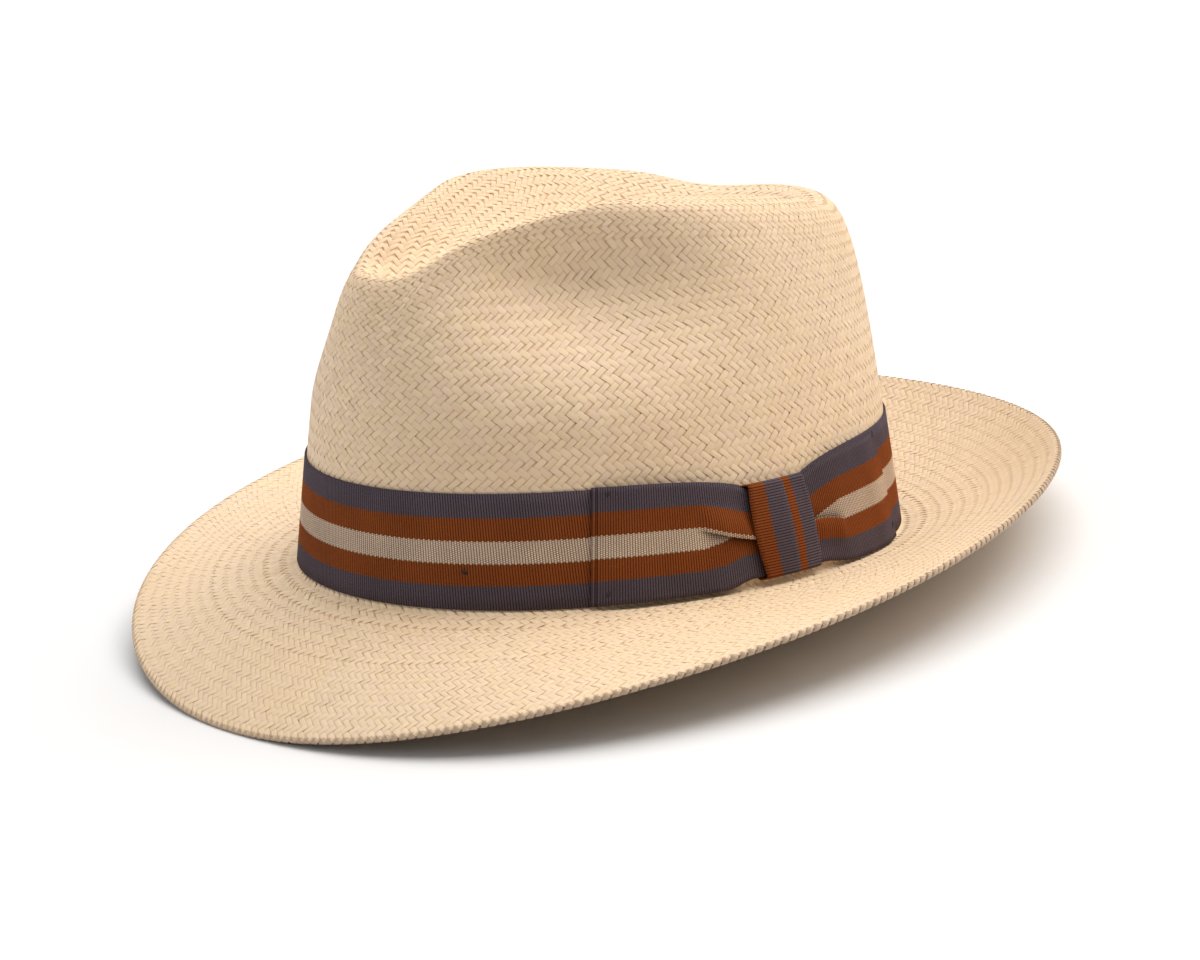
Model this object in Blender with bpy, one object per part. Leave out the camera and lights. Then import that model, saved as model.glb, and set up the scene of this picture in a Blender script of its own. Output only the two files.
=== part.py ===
"""Striped-band straw fedora, built as separate pieces in metres, +Z up.

The hat is first laid out in its own frame: the crown meets the brim in the plane z = 0, the front
points to -Y and the wearer's left to +X. A parent empty then tips that frame back, so that the hat
stands on a table at z = 0 the way it rests when it is put down: on the front of its brim and on the
back of its head opening.

Positions around the hat are given by the angle of an oval: 0 is the front, 90 degrees the wearer's
left, 180 degrees the back.
"""

import math

import bmesh
import bpy
import numpy as np
from mathutils import Matrix

MM = 0.001

# Head opening and crown, measured on the middle of the straw
OPENING_HALF_WIDTH = 85.0 * MM
OPENING_HALF_LENGTH = 103.7 * MM
OPENING_WAVE = -0.9 * MM        # the base dips this much in front and behind, and rises at the sides
FRONT_FULLNESS = 0.022          # how much wider the oval is in front than at the sides
CROWN_HEIGHT = 115.6 * MM
CROWN_SLOPE = (-10.2 * MM, -11.2 * MM, 10.7 * MM)   # height against length: linear, square, cube
SIDE_LEAN = 0.342               # share of its half width that the crown loses to the top
FRONT_LEAN = 0.027
BACK_LEAN = 0.056
SHOULDER_POWER_OUT = 21.3       # the open crown's profile: out ** p + up ** q = 1
SHOULDER_POWER_UP = 3.85

# Front pinches and the dent along the top
PINCH_SHARE = 0.393             # how much of the crown's half width the front pinches take
PINCH_PLACE = -75.9 * MM
PINCH_LENGTH = 51.9 * MM
PINCH_START = 52.8 * MM         # height at which the wall starts to turn in
PINCH_RISE = 49.5 * MM
HOLLOW_SHARE = 0.20             # finger hollow under each side of the ridge
HOLLOW_PLACE = -38.0 * MM
HOLLOW_LENGTH = 30.0 * MM
HOLLOW_HEIGHT = 93.0 * MM
HOLLOW_REACH = 17.0 * MM
DENT_DEPTH = 21.2 * MM
DENT_HALF_WIDTH_NOSE = 15.5 * MM
DENT_HALF_WIDTH_BACK = 37.7 * MM
DENT_END = 70.9 * MM
DENT_POWER_NOSE = 1.05          # a low power makes the ridge crisp, a higher one rounds it
DENT_POWER_BACK = 1.60
DENT_FRONT_FADE = 25.0 * MM
DENT_BACK_FADE = 45.0 * MM
DENT_BACK_REACH = 18.0 * MM

# Brim: its width along the straw and the height of its edge, as waves around the hat
BRIM_WIDTH = 56.8 * MM
BRIM_WIDTH_WAVE = 2.8 * MM
EDGE_HEIGHT_WAVES = (4.1 * MM, -27.7 * MM, -5.5 * MM, -0.9 * MM, -0.9 * MM)
BRIM_CURL = 0.6                 # share of the edge height that comes from the outer brim
BRIM_ARC = 1.08                 # the curled straw rises this much steeper than a straight one
BREAK_RADIUS = 2.0 * MM         # rounding between crown and brim
STRAW = 0.8 * MM                # thickness of the woven straw
FOLD_RADIUS = 1.05 * MM         # the edge is folded under, round the wire
HEM_WIDTH = 9.0 * MM
HEM_GAP_AT_LIP = 1.2 * MM       # distance between the two layers' middles at the hem's lip
HEM_STITCH_INSET = 1.0 * MM     # from the hem's lip to the thread that catches it
EDGE_WIRE_RADIUS = 0.35 * MM

# Resting place on a table
REST_TILT = math.radians(-7.29)
REST_LIFT = 13.6 * MM
REST_SHIFT = -1.7 * MM

# Hat band and bow, cut from one striped ribbon
RIBBON_WIDTH = 35.0 * MM
RIBBON = 0.5 * MM               # thickness of the ribbon
RIBBON_FOOT = 1.0 * MM          # height of the band's lower edge over the crown's base
GAP = 0.35 * MM                 # clearance between neighbouring pieces
BOW_ANGLE = math.radians(90.0)
BOW_HALF_LENGTH = 66.1 * MM
BOW_SHIFT = 0.8 * MM            # the bow's middle lies this far behind its angle
BOW_FLARE = 0.086               # share by which the bow is longer at its foot than at its top
BOW_SWELL = 1.6 * MM            # how far the bow's upper layer stands off beside the knot
BOW_END_SHARPNESS = 2.2         # how soon that swell dies out towards the bow's ends
KNOT_HALF_WIDTH = 12.8 * MM
KNOT_SHIFT = 1.7 * MM           # the knot sits this far behind the bow's angle
KNOT_MARGIN = 1.0 * MM          # the ribbon stays fully gathered this far past the knot
GATHER_TOP = 5.9 * MM           # how far the knot draws in the ribbon's upper edge
GATHER_TOP_REACH = 14.5 * MM    # the upper edge rises back over this length on both sides
GATHER_FOOT = 2.0 * MM
GATHER_FADE_FRONT = 11.5 * MM
GATHER_FADE_REAR = 17.0 * MM
BAND_JOINT_GAP = 0.6 * MM
TACK_HALF_LENGTH = 1.4 * MM
TACK_RADIUS = 0.35 * MM
TACK_INSET = 2.6 * MM           # from the bow's end to its tacks
TACK_LOW = 3.5 * MM             # heights of the tacks over the ribbon's lower edge
TACK_HIGH = 33.2 * MM
BAND_TACK_ANGLE = math.radians(29.4)
BAND_TACK_HEIGHT = 11.5 * MM

# Sweatband inside the opening, with its reed, its bow and a size flap
SWEATBAND_HEIGHT = 34.0 * MM
SWEATBAND = 0.9 * MM
SWEATBAND_FOOT = 1.4 * MM
REED_RADIUS = 1.0 * MM
SWEATBAND_JOINT_GAP = 1.0 * MM
SWEATBAND_SEAM_RISE = 2.0 * MM  # of the stitching over the reed
THREAD_RADIUS = 0.25 * MM
SWEATBAND_BOW_HALF_WIDTH = 12.0 * MM
SWEATBAND_BOW_HALF_HEIGHT = 4.5 * MM
SWEATBAND_BOW_WAIST = 0.45      # share of its height that the little bow keeps in the middle
SWEATBAND_BOW_DEPTH = 1.0 * MM
SWEATBAND_BOW_RIM = 0.6 * MM
SWEATBAND_BOW_PUFF = 0.9 * MM
FLAP_ANGLE = math.radians(152.0)
FLAP_WIDTH = 20.0 * MM
FLAP_DROP = 15.0 * MM
FLAP = 0.5 * MM
FLAP_HINGE_DROP = 3.0 * MM      # of the flap's seam under the sweatband's upper edge
BACK_RADIUS = OPENING_HALF_WIDTH ** 2 / OPENING_HALF_LENGTH   # of the oval at its back

# Facets
AROUND = 64                     # facets round the whole hat
BOW_FACETS = 33                 # stations along the bow
NEAR_BOW_STEP = 5.0 * MM        # closer stations of the band under the bow
NEAR_BOW_REACH = 30.0 * MM
TUBE_SIDES = 5
TURN_STEP = 0.01                # angle and share over which directions are measured
SHARE_STEP = 0.02

FULL_TURN = 2.0 * math.pi


def smooth_step(value):
    """0 below 0, 1 above 1, and a smooth S between them."""
    value = np.clip(value, 0.0, 1.0)
    return value * value * (3.0 - 2.0 * value)


def open_profile():
    """The crown's outline before it is creased: (out, up) shares from the top's middle to the base."""
    top_out = np.linspace(0.0, 0.80, 40)
    top_up = (1.0 - top_out ** SHOULDER_POWER_OUT) ** (1.0 / SHOULDER_POWER_UP)
    side_up = np.linspace(top_up[-1], 0.0, 161)[1:]
    side_out = (1.0 - side_up ** SHOULDER_POWER_UP) ** (1.0 / SHOULDER_POWER_OUT)
    return np.concatenate([top_out, side_out]), np.concatenate([top_up, side_up])


PROFILE_OUT, PROFILE_UP = open_profile()
MEAN_HALF = 0.5 * (OPENING_HALF_WIDTH + OPENING_HALF_LENGTH)
PROFILE_STEP = np.hypot(
    np.diff(PROFILE_OUT * (1.0 - 0.5 * SIDE_LEAN * PROFILE_UP)) * MEAN_HALF,
    np.diff(PROFILE_UP) * CROWN_HEIGHT,
)
PROFILE_LENGTH = np.concatenate([[0.0], np.cumsum(PROFILE_STEP)])
PROFILE_LENGTH = PROFILE_LENGTH / PROFILE_LENGTH[-1]


def crown_height_at(lengthwise):
    """Height of the uncreased crown at a share of its half length, -1 at the front and 1 at the back."""
    first, second, third = CROWN_SLOPE
    return CROWN_HEIGHT + first * lengthwise + second * lengthwise ** 2 + third * lengthwise ** 3


def crown_point(angle, out, up):
    """Middle of the straw on the creased crown, from shares of the open profile."""
    sine, cosine = np.sin(angle), -np.cos(angle)
    lean = np.where(cosine < 0.0, FRONT_LEAN, BACK_LEAN)
    x = OPENING_HALF_WIDTH * out * (1.0 - SIDE_LEAN * up) * sine * (1.0 - FRONT_FULLNESS * cosine)
    y = OPENING_HALF_LENGTH * out * (1.0 - lean * up) * cosine
    z = crown_height_at(y / OPENING_HALF_LENGTH) * up

    pinch = PINCH_SHARE * np.exp(-((y - PINCH_PLACE) / PINCH_LENGTH) ** 2)
    pinch = pinch * smooth_step((z - PINCH_START) / PINCH_RISE)
    hollow = HOLLOW_SHARE * np.exp(-((y - HOLLOW_PLACE) / HOLLOW_LENGTH) ** 2)
    hollow = hollow * np.exp(-((z - HOLLOW_HEIGHT) / HOLLOW_REACH) ** 2)
    x = x * (1.0 - pinch - hollow)

    nose = -OPENING_HALF_LENGTH * (1.0 - FRONT_LEAN)
    along = np.clip((y - nose) / (DENT_END - nose), 0.0, 1.0)
    growth = smooth_step(2.0 * along)
    half = DENT_HALF_WIDTH_NOSE + (DENT_HALF_WIDTH_BACK - DENT_HALF_WIDTH_NOSE) * growth
    power = DENT_POWER_NOSE + (DENT_POWER_BACK - DENT_POWER_NOSE) * along
    bowl = np.clip(1.0 - (x / half) ** 2, 0.0, 1.0) ** power
    fade = smooth_step((y - nose) / DENT_FRONT_FADE)
    fade = fade * smooth_step((DENT_END + DENT_BACK_REACH - y) / DENT_BACK_FADE)
    z = z - DENT_DEPTH * bowl * fade + OPENING_WAVE * np.cos(2.0 * angle) * (1.0 - up)
    return np.stack([x, y, z], axis=-1)


def crown_at(angle, share):
    """Crown point at a share of the way along the straw from the top's middle (0) to the base (1)."""
    out = np.interp(share, PROFILE_LENGTH, PROFILE_OUT)
    up = np.interp(share, PROFILE_LENGTH, PROFILE_UP)
    return crown_point(angle, out, up)


def wall_at(angle, height):
    """Crown wall point at a height over the base, on the straight lower part of the wall."""
    angle = np.asarray(angle, dtype=float)
    up = height / crown_height_at(-np.cos(angle))
    out = (1.0 - np.clip(up, 0.0, 1.0) ** SHOULDER_POWER_UP) ** (1.0 / SHOULDER_POWER_OUT)
    return crown_point(angle, out, up)


def opening_normal(angle):
    """Outward direction in plan, square to the oval of the opening."""
    x = OPENING_HALF_LENGTH * np.sin(angle)
    y = -OPENING_HALF_WIDTH * np.cos(angle)
    length = np.hypot(x, y)
    return np.stack([x / length, y / length, 0.0 * x], axis=-1)


def edge_height(angle):
    """Height of the brim's edge over the crown's base."""
    return sum(size * np.cos(order * angle) for order, size in enumerate(EDGE_HEIGHT_WAVES))


def brim_at(angle, share):
    """Middle of the straw on the brim at a share of the way from the crown (0) to the edge (1)."""
    rise = edge_height(angle)
    width = BRIM_WIDTH + BRIM_WIDTH_WAVE * np.cos(2.0 * angle)
    reach = np.sqrt(width ** 2 - (BRIM_ARC * rise) ** 2)
    foot = wall_at(angle, np.zeros_like(angle))
    out = opening_normal(angle) * (reach * share)[..., None]
    lift = rise * ((1.0 - BRIM_CURL) * share + BRIM_CURL * share ** 2)
    return foot + out + np.stack([0.0 * lift, 0.0 * lift, lift], axis=-1)


def unit(vectors):
    """The vectors, each scaled to length 1."""
    return vectors / np.linalg.norm(vectors, axis=-1, keepdims=True)


def wall_frame(angle, height):
    """A point of the wall with the directions that point out of it and up along it."""
    step = 0.5 * MM
    here = wall_at(angle, height)
    upward = unit(wall_at(angle, height + step) - wall_at(angle, height - step * (height > step)))
    around = unit(wall_at(angle + TURN_STEP, height) - wall_at(angle - TURN_STEP, height))
    return here, unit(np.cross(around, upward)), upward


def off_wall(angle, height, distance):
    """A point off the wall's outer face (distance > 0) or inner face (distance < 0)."""
    here, outward, _ = wall_frame(angle, height)
    return here + outward * (np.sign(distance) * (0.5 * STRAW) + distance)[..., None]


# --- mesh helpers ---------------------------------------------------------------------------------

def material(name, colour, roughness):
    """A plain Principled material."""
    result = bpy.data.materials.new(name)
    result.use_nodes = True
    shader = result.node_tree.nodes["Principled BSDF"]
    shader.inputs["Base Color"].default_value = (*colour, 1.0)
    shader.inputs["Roughness"].default_value = roughness
    shader.inputs["Metallic"].default_value = 0.0
    result.diffuse_color = (*colour, 1.0)
    return result


def add_object(name, points, faces, look, parent):
    """One closed mesh object, its faces turned out, hung under the given parent."""
    mesh = bpy.data.meshes.new(name)
    mesh.from_pydata([tuple(float(value) for value in point) for point in points], [], faces)
    work = bmesh.new()
    work.from_mesh(mesh)
    bmesh.ops.recalc_face_normals(work, faces=work.faces)
    work.to_mesh(mesh)
    work.free()
    mesh.shade_smooth()
    mesh.set_sharp_from_angle(angle=math.radians(40.0))
    mesh.materials.append(look)
    result = bpy.data.objects.new(name, mesh)
    bpy.context.scene.collection.objects.link(result)
    result.parent = parent
    return result


def grid_faces(rows, columns, closed_rows, closed_columns):
    """Quads between neighbouring points of a grid whose rows and columns may close on themselves."""
    faces = []
    for row in range(rows if closed_rows else rows - 1):
        below = (row + 1) % rows
        for column in range(columns if closed_columns else columns - 1):
            beside = (column + 1) % columns
            faces.append((row * columns + column, row * columns + beside,
                          below * columns + beside, below * columns + column))
    return faces


def add_swept(name, sections, closed, look, parent):
    """A solid through cross-sections (path, section, 3); an open sweep gets flat ends."""
    count, size = sections.shape[0], sections.shape[1]
    faces = grid_faces(count, size, closed, True)
    if not closed:
        faces.append(tuple(range(size)))
        faces.append(tuple((count - 1) * size + index for index in reversed(range(size))))
    return add_object(name, sections.reshape(-1, 3), faces, look, parent)


def tube(path, radius, closed):
    """Round cross-sections along a path."""
    if closed:
        tangent = unit(np.roll(path, -1, axis=0) - np.roll(path, 1, axis=0))
    else:
        tangent = unit(np.gradient(path, axis=0))
    side = unit(np.cross(tangent, np.array([0.0, 0.0, 1.0])))
    rise = np.cross(side, tangent)
    sections = []
    for index in range(TUBE_SIDES):
        turn = FULL_TURN * index / TUBE_SIDES
        sections.append(path + radius * (math.cos(turn) * side + math.sin(turn) * rise))
    return np.stack(sections, axis=1)


def all_around(count=AROUND):
    """Evenly spaced oval angles for a closed ring."""
    return np.arange(count) * FULL_TURN / count


# --- straw body -----------------------------------------------------------------------------------

CROWN_SHARES = (0.09, 0.18, 0.26, 0.32, 0.37, 0.42, 0.47, 0.53, 0.60, 0.68, 0.77, 0.87, 0.95)
BRIM_SHARES = (0.10, 0.26, 0.42, 0.58, 0.72, 0.86, 1.0)
BREAK_TURNS = (0.0, 0.33, 0.67, 1.0)
FOLD_TURNS = (60.0, 120.0, 180.0)
HEM_SHARES = (0.5, 1.0)


def break_point(angle, share):
    """Rounding between the wall and the brim, as a curve with its control point at the corner."""
    high = wall_at(angle, np.full_like(angle, BREAK_RADIUS))
    corner = wall_at(angle, np.zeros_like(angle))
    low = brim_at(angle, np.full_like(angle, BREAK_RADIUS / BRIM_WIDTH))
    return high * (1.0 - share) ** 2 + corner * 2.0 * share * (1.0 - share) + low * share ** 2


def brim_frame(angle, share):
    """A point of the brim with its upward normal and its outward direction."""
    here = brim_at(angle, share)
    outward = unit(here - brim_at(angle, share - SHARE_STEP))
    around = unit(brim_at(angle + TURN_STEP, share) - brim_at(angle - TURN_STEP, share))
    return here, unit(np.cross(outward, around)), outward


def hem_point(angle, share):
    """Middle of the folded-under layer, from the fold (0) to the hem's lip (1)."""
    inward = share * HEM_WIDTH / BRIM_WIDTH
    here, upward, _ = brim_frame(angle, np.full_like(angle, 1.0 - inward))
    drop = 2.0 * FOLD_RADIUS + (HEM_GAP_AT_LIP - 2.0 * FOLD_RADIUS) * share
    return here - upward * drop


def fold_point(angle, turn):
    """Middle of the straw where it turns under, at an angle of the half circle."""
    edge, upward, outward = brim_frame(angle, np.ones_like(angle))
    centre = edge - upward * FOLD_RADIUS
    return centre + FOLD_RADIUS * (math.cos(turn) * upward + math.sin(turn) * outward)


def straw_sheet():
    """Rows of points on the middle of the straw, from the top of the crown to the hem's lip."""
    angle = all_around()
    rows = [crown_at(angle, share) for share in CROWN_SHARES]
    rows += [break_point(angle, share) for share in BREAK_TURNS]
    rows += [brim_at(angle, np.full_like(angle, share)) for share in BRIM_SHARES]
    rows += [fold_point(angle, math.radians(turn)) for turn in FOLD_TURNS]
    rows += [hem_point(angle, share) for share in HEM_SHARES]
    return np.stack(rows)


def to_rest(points):
    """Hat frame to table frame."""
    turn = np.array(Matrix.Rotation(REST_TILT, 3, "X"))
    return points @ turn.T + np.array([0.0, REST_SHIFT, REST_LIFT])


def to_hat(points):
    """Table frame back to hat frame."""
    turn = np.array(Matrix.Rotation(REST_TILT, 3, "X"))
    return (points - np.array([0.0, REST_SHIFT, REST_LIFT])) @ turn


def flatten_feet(points):
    """Presses what would reach under the table flat against it, where the hat stands."""
    rested = to_rest(points)
    rested[..., 2] = np.maximum(rested[..., 2], 0.0)
    return to_hat(rested)


def add_straw_body(look, parent):
    """Crown and brim, woven in one piece and folded under at the edge."""
    middle = straw_sheet()
    around = np.roll(middle, -1, axis=1) - np.roll(middle, 1, axis=1)
    along = np.gradient(middle, axis=0)
    normal = unit(np.cross(around, along))
    top = crown_point(np.zeros(1), np.zeros(1), np.ones(1))[0]
    half = 0.5 * STRAW
    outer = flatten_feet(middle - normal * half)
    inner = flatten_feet(middle + normal * half)
    rows, columns = middle.shape[:2]
    lift = np.array([0.0, 0.0, half])
    points = [*outer.reshape(-1, 3), *inner.reshape(-1, 3), top + lift, top - lift]
    faces = grid_faces(rows, columns, False, True)
    inside = rows * columns
    faces += [tuple(inside + index for index in reversed(face)) for face in faces]
    last = (rows - 1) * columns
    for column in range(columns):
        beside = (column + 1) % columns
        faces.append((last + column, last + beside, inside + last + beside, inside + last + column))
        faces.append((2 * inside, beside, column))
        faces.append((2 * inside + 1, inside + column, inside + beside))
    return add_object("straw_body", points, faces, look, parent)


def add_edge_wire(look, parent):
    """Wire inside the folded edge, which holds the brim's shape."""
    edge, upward, _ = brim_frame(all_around(), np.ones(AROUND))
    sections = tube(edge - upward * FOLD_RADIUS, EDGE_WIRE_RADIUS, True)
    return add_swept("brim_edge_wire", sections, True, look, parent)


def add_hem_stitching(look, parent):
    """Thread that catches the hem's lip to the underside of the brim."""
    angle = all_around()
    past_lip = 1.0 - (HEM_WIDTH + HEM_STITCH_INSET) / BRIM_WIDTH
    here, upward, _ = brim_frame(angle, np.full_like(angle, past_lip))
    path = here - upward * (0.5 * STRAW + GAP + THREAD_RADIUS)
    return add_swept("hem_stitching", tube(path, THREAD_RADIUS, True), True, look, parent)


# --- hat band and bow -----------------------------------------------------------------------------

LAYER = RIBBON + GAP                        # one layer of ribbon with its clearance
MM_PER_RADIAN = OPENING_HALF_LENGTH         # length along the wall for a turn about the bow


def gather(along):
    """1 where the knot gathers the ribbon, fading to 0 on both sides."""
    past_knot = np.abs(along - KNOT_SHIFT) - KNOT_HALF_WIDTH - KNOT_MARGIN
    fade = np.where(along < KNOT_SHIFT, GATHER_FADE_FRONT, GATHER_FADE_REAR)
    return 1.0 - smooth_step(past_knot / fade)


def ribbon_foot(along):
    """Height of the ribbon's lower edge at a place along the bow."""
    return RIBBON_FOOT + GATHER_FOOT * gather(along)


def ribbon_top(along):
    """Height of the ribbon's upper edge at a place along the bow."""
    past_knot = np.maximum(np.abs(along - KNOT_SHIFT) - KNOT_HALF_WIDTH - 2.5 * KNOT_MARGIN, 0.0)
    return RIBBON_FOOT + RIBBON_WIDTH - GATHER_TOP * np.exp(-past_knot / GATHER_TOP_REACH)


def bow_place(angle):
    """Place along the wall, measured from the bow's middle."""
    return (np.mod(angle - BOW_ANGLE + math.pi, FULL_TURN) - math.pi) * MM_PER_RADIAN


def add_hat_band(look, parent):
    """Striped ribbon round the crown, its two ends meeting under the bow."""
    joint = 0.5 * BAND_JOINT_GAP
    near_bow = np.arange(0.0, NEAR_BOW_REACH + 0.5 * NEAR_BOW_STEP, NEAR_BOW_STEP)
    near_bow[0] = joint
    away = all_around() + BOW_ANGLE
    away = away[np.abs(bow_place(away)) > near_bow[-1] + 0.6 * NEAR_BOW_STEP]
    angle = np.concatenate([BOW_ANGLE + near_bow / MM_PER_RADIAN, away,
                            BOW_ANGLE + FULL_TURN - near_bow[::-1] / MM_PER_RADIAN])
    place = bow_place(angle)
    low = ribbon_foot(place)
    high = ribbon_top(place)
    middle = 0.5 * (low + high)
    near = GAP + LAYER * gather(place)
    far = near + RIBBON
    corners = [(low, near), (middle, near), (high, near), (high, far), (middle, far), (low, far)]
    sections = np.stack([off_wall(angle, height, distance) for height, distance in corners], axis=1)
    return add_swept("ribbon_band", sections, False, look, parent)


def bow_loop_path():
    """Closed plan of the folded bow: (place along the band, distance off the straw)."""
    share = np.linspace(-1.0, 1.0, BOW_FACETS)
    along = BOW_SHIFT + share * BOW_HALF_LENGTH
    inner = GAP + LAYER * (1.0 + gather(along)) + 0.5 * RIBBON
    ends = smooth_step(BOW_END_SHARPNESS * (1.0 - share ** 2))
    upper = inner + LAYER + BOW_SWELL * ends * (1.0 - gather(along))
    fold_place = BOW_HALF_LENGTH + 0.5 * LAYER
    fold_distance = GAP + LAYER + 0.5 * (RIBBON + LAYER)
    path = [(place, distance) for place, distance in zip(along, inner)]
    path += [(BOW_SHIFT + fold_place, fold_distance)]
    path += [(place, distance) for place, distance in zip(along[::-1], upper[::-1])]
    path += [(BOW_SHIFT - fold_place, fold_distance)]
    return np.array(path)


def flared(place, level):
    """Place along the band of a point of the bow, at a share of the ribbon's width from its foot."""
    return place * (1.0 + BOW_FLARE * (0.5 - level))


def add_bow_ribbon(look, parent):
    """Flat bow: a ribbon folded into a loop and gathered in the middle by the knot."""
    path = bow_loop_path()
    ahead = unit(np.roll(path, -1, axis=0) - np.roll(path, 1, axis=0))
    aside = np.stack([ahead[:, 1], -ahead[:, 0]], axis=-1)
    low = ribbon_foot(path[:, 0])
    high = ribbon_top(path[:, 0])
    corners = []
    for side, level in ((-1.0, 0.0), (-1.0, 0.5), (-1.0, 1.0), (1.0, 1.0), (1.0, 0.5), (1.0, 0.0)):
        spot = path + aside * (side * 0.5 * RIBBON)
        height = low + level * (high - low)
        angle = BOW_ANGLE + flared(spot[:, 0], level) / MM_PER_RADIAN
        corners.append(off_wall(angle, height, spot[:, 1]))
    return add_swept("bow_ribbon", np.stack(corners, axis=1), True, look, parent)


def knot_path():
    """Closed cross-section of the knot's ribbon: (height over the base, distance off the straw)."""
    near = GAP + 0.5 * RIBBON
    far = near + 4.0 * LAYER
    corner = 0.5 * (far - near)
    high = ribbon_top(KNOT_SHIFT) + GAP + 0.5 * RIBBON - 0.5 * corner
    low = ribbon_foot(KNOT_SHIFT) - GAP - 0.5 * RIBBON + 0.5 * corner
    path = []
    for centre, start in ((high, 90.0), (low, -90.0)):
        for step in range(7):
            turn = math.radians(start - 30.0 * step)
            height = centre + 0.5 * corner * math.cos(turn)
            path.append((height, 0.5 * (near + far) + corner * math.sin(turn)))
    return np.array(path)


def add_bow_knot(look, parent):
    """Ribbon wrapped round the middle of the bow and the band."""
    path = knot_path()
    ahead = unit(np.roll(path, -1, axis=0) - np.roll(path, 1, axis=0))
    aside = np.stack([ahead[:, 1], -ahead[:, 0]], axis=-1)
    across = KNOT_SHIFT + np.linspace(-KNOT_HALF_WIDTH, KNOT_HALF_WIDTH, 5)
    corners = []
    for side, places in ((-1.0, across), (1.0, across[::-1])):
        for place in places:
            spot = path + aside * (side * 0.5 * RIBBON)
            angle = np.full(len(path), BOW_ANGLE + place / MM_PER_RADIAN)
            corners.append(off_wall(angle, spot[:, 0], spot[:, 1]))
    return add_swept("bow_knot", np.stack(corners, axis=1), True, look, parent)


def add_tack(name, angle, height, distance, look, parent):
    """Short stitch of thread lying on the ribbon it holds."""
    along = np.linspace(-TACK_HALF_LENGTH, TACK_HALF_LENGTH, 5)
    turns = angle + along / MM_PER_RADIAN
    lift = distance + GAP + TACK_RADIUS
    path = off_wall(turns, np.full_like(turns, height), np.full_like(turns, lift))
    return add_swept(name, tube(path, TACK_RADIUS, False), False, look, parent)


# --- inside the opening ---------------------------------------------------------------------------

def add_sweatband(look, parent):
    """Band against the wearer's head, its ends meeting at the back."""
    gap_turn = 0.5 * SWEATBAND_JOINT_GAP / OPENING_HALF_WIDTH
    inside = all_around()
    inside = inside[np.abs(inside - math.pi) > 0.5 * FULL_TURN / AROUND]
    before = inside[inside < math.pi]
    after = inside[inside > math.pi] - FULL_TURN
    angle = np.concatenate([[-math.pi + gap_turn], after, before, [math.pi - gap_turn]])
    low = np.full_like(angle, SWEATBAND_FOOT + 2.0 * REED_RADIUS)
    high = low + SWEATBAND_HEIGHT - 2.0 * REED_RADIUS
    middle = 0.5 * (low + high)
    near = np.full_like(angle, -GAP)
    corners = [(low, near), (middle, near), (high, near)]
    corners += [(height, distance - SWEATBAND) for height, distance in corners[::-1]]
    sections = np.stack([off_wall(angle, height, distance) for height, distance in corners], axis=1)
    return add_swept("sweatband", sections, False, look, parent)


def add_sweatband_reed(look, parent):
    """Round cord in the sweatband's lower fold."""
    angle = all_around()
    height = np.full_like(angle, SWEATBAND_FOOT + REED_RADIUS - GAP)
    path = off_wall(angle, height, np.full_like(angle, -(GAP + REED_RADIUS)))
    return add_swept("sweatband_reed", tube(path, REED_RADIUS, True), True, look, parent)


def add_sweatband_stitching(look, parent):
    """Thread along the sweatband's lower seam."""
    angle = all_around()
    height = np.full_like(angle, SWEATBAND_FOOT + 2.0 * REED_RADIUS + SWEATBAND_SEAM_RISE)
    distance = -(2.0 * GAP + SWEATBAND + THREAD_RADIUS)
    path = off_wall(angle, height, np.full_like(angle, distance))
    return add_swept("sweatband_stitching", tube(path, THREAD_RADIUS, True), True, look, parent)


def add_sweatband_bow(look, parent):
    """Little flat bow over the sweatband's joint."""
    half_width, half_height = SWEATBAND_BOW_HALF_WIDTH, SWEATBAND_BOW_HALF_HEIGHT
    across = np.linspace(-half_width, half_width, 13)
    open_out = smooth_step(np.abs(across) / (0.6 * half_width))
    waist = SWEATBAND_BOW_WAIST + (1.0 - SWEATBAND_BOW_WAIST) * open_out
    middle = SWEATBAND_FOOT + 0.5 * SWEATBAND_HEIGHT
    angle = math.pi + across / OPENING_HALF_WIDTH
    near = -(2.0 * GAP + SWEATBAND)
    puff = SWEATBAND_BOW_PUFF * (1.0 - (across / half_width) ** 2)
    outline = ((-1.0, 0.0), (1.0, 0.0), (1.0, SWEATBAND_BOW_RIM), (0.0, SWEATBAND_BOW_DEPTH),
               (-1.0, SWEATBAND_BOW_RIM))
    corners = []
    for level, distance in outline:
        height = middle + level * waist * half_height
        depth = near - distance - (puff if distance > 0.0 else 0.0)
        corners.append(off_wall(angle, height, depth + 0.0 * across))
    return add_swept("sweatband_bow", np.stack(corners, axis=1), False, look, parent)


def flap_frame():
    """Hinge point of the size flap with its directions: along the seam, down the flap, off the band."""
    height = SWEATBAND_FOOT + SWEATBAND_HEIGHT - FLAP_HINGE_DROP
    here, outward, upward = wall_frame(np.array([FLAP_ANGLE]), np.array([height]))
    here, outward, upward = here[0], outward[0], upward[0]
    along = np.cross(upward, outward)
    bulge = FLAP_WIDTH ** 2 / (8.0 * BACK_RADIUS)
    stand = 0.5 * STRAW + 3.0 * GAP + SWEATBAND + bulge
    return here - outward * stand, along, -upward, -outward


def add_box(name, corner, sides, look, parent):
    """A box from one corner and three edge vectors."""
    first, second, third = sides
    points = [corner + first * a + second * b + third * c for a in (0, 1) for b in (0, 1) for c in (0, 1)]
    faces = [(0, 1, 3, 2), (4, 6, 7, 5), (0, 4, 5, 1), (2, 3, 7, 6), (0, 2, 6, 4), (1, 5, 7, 3)]
    return add_object(name, points, faces, look, parent)


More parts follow.
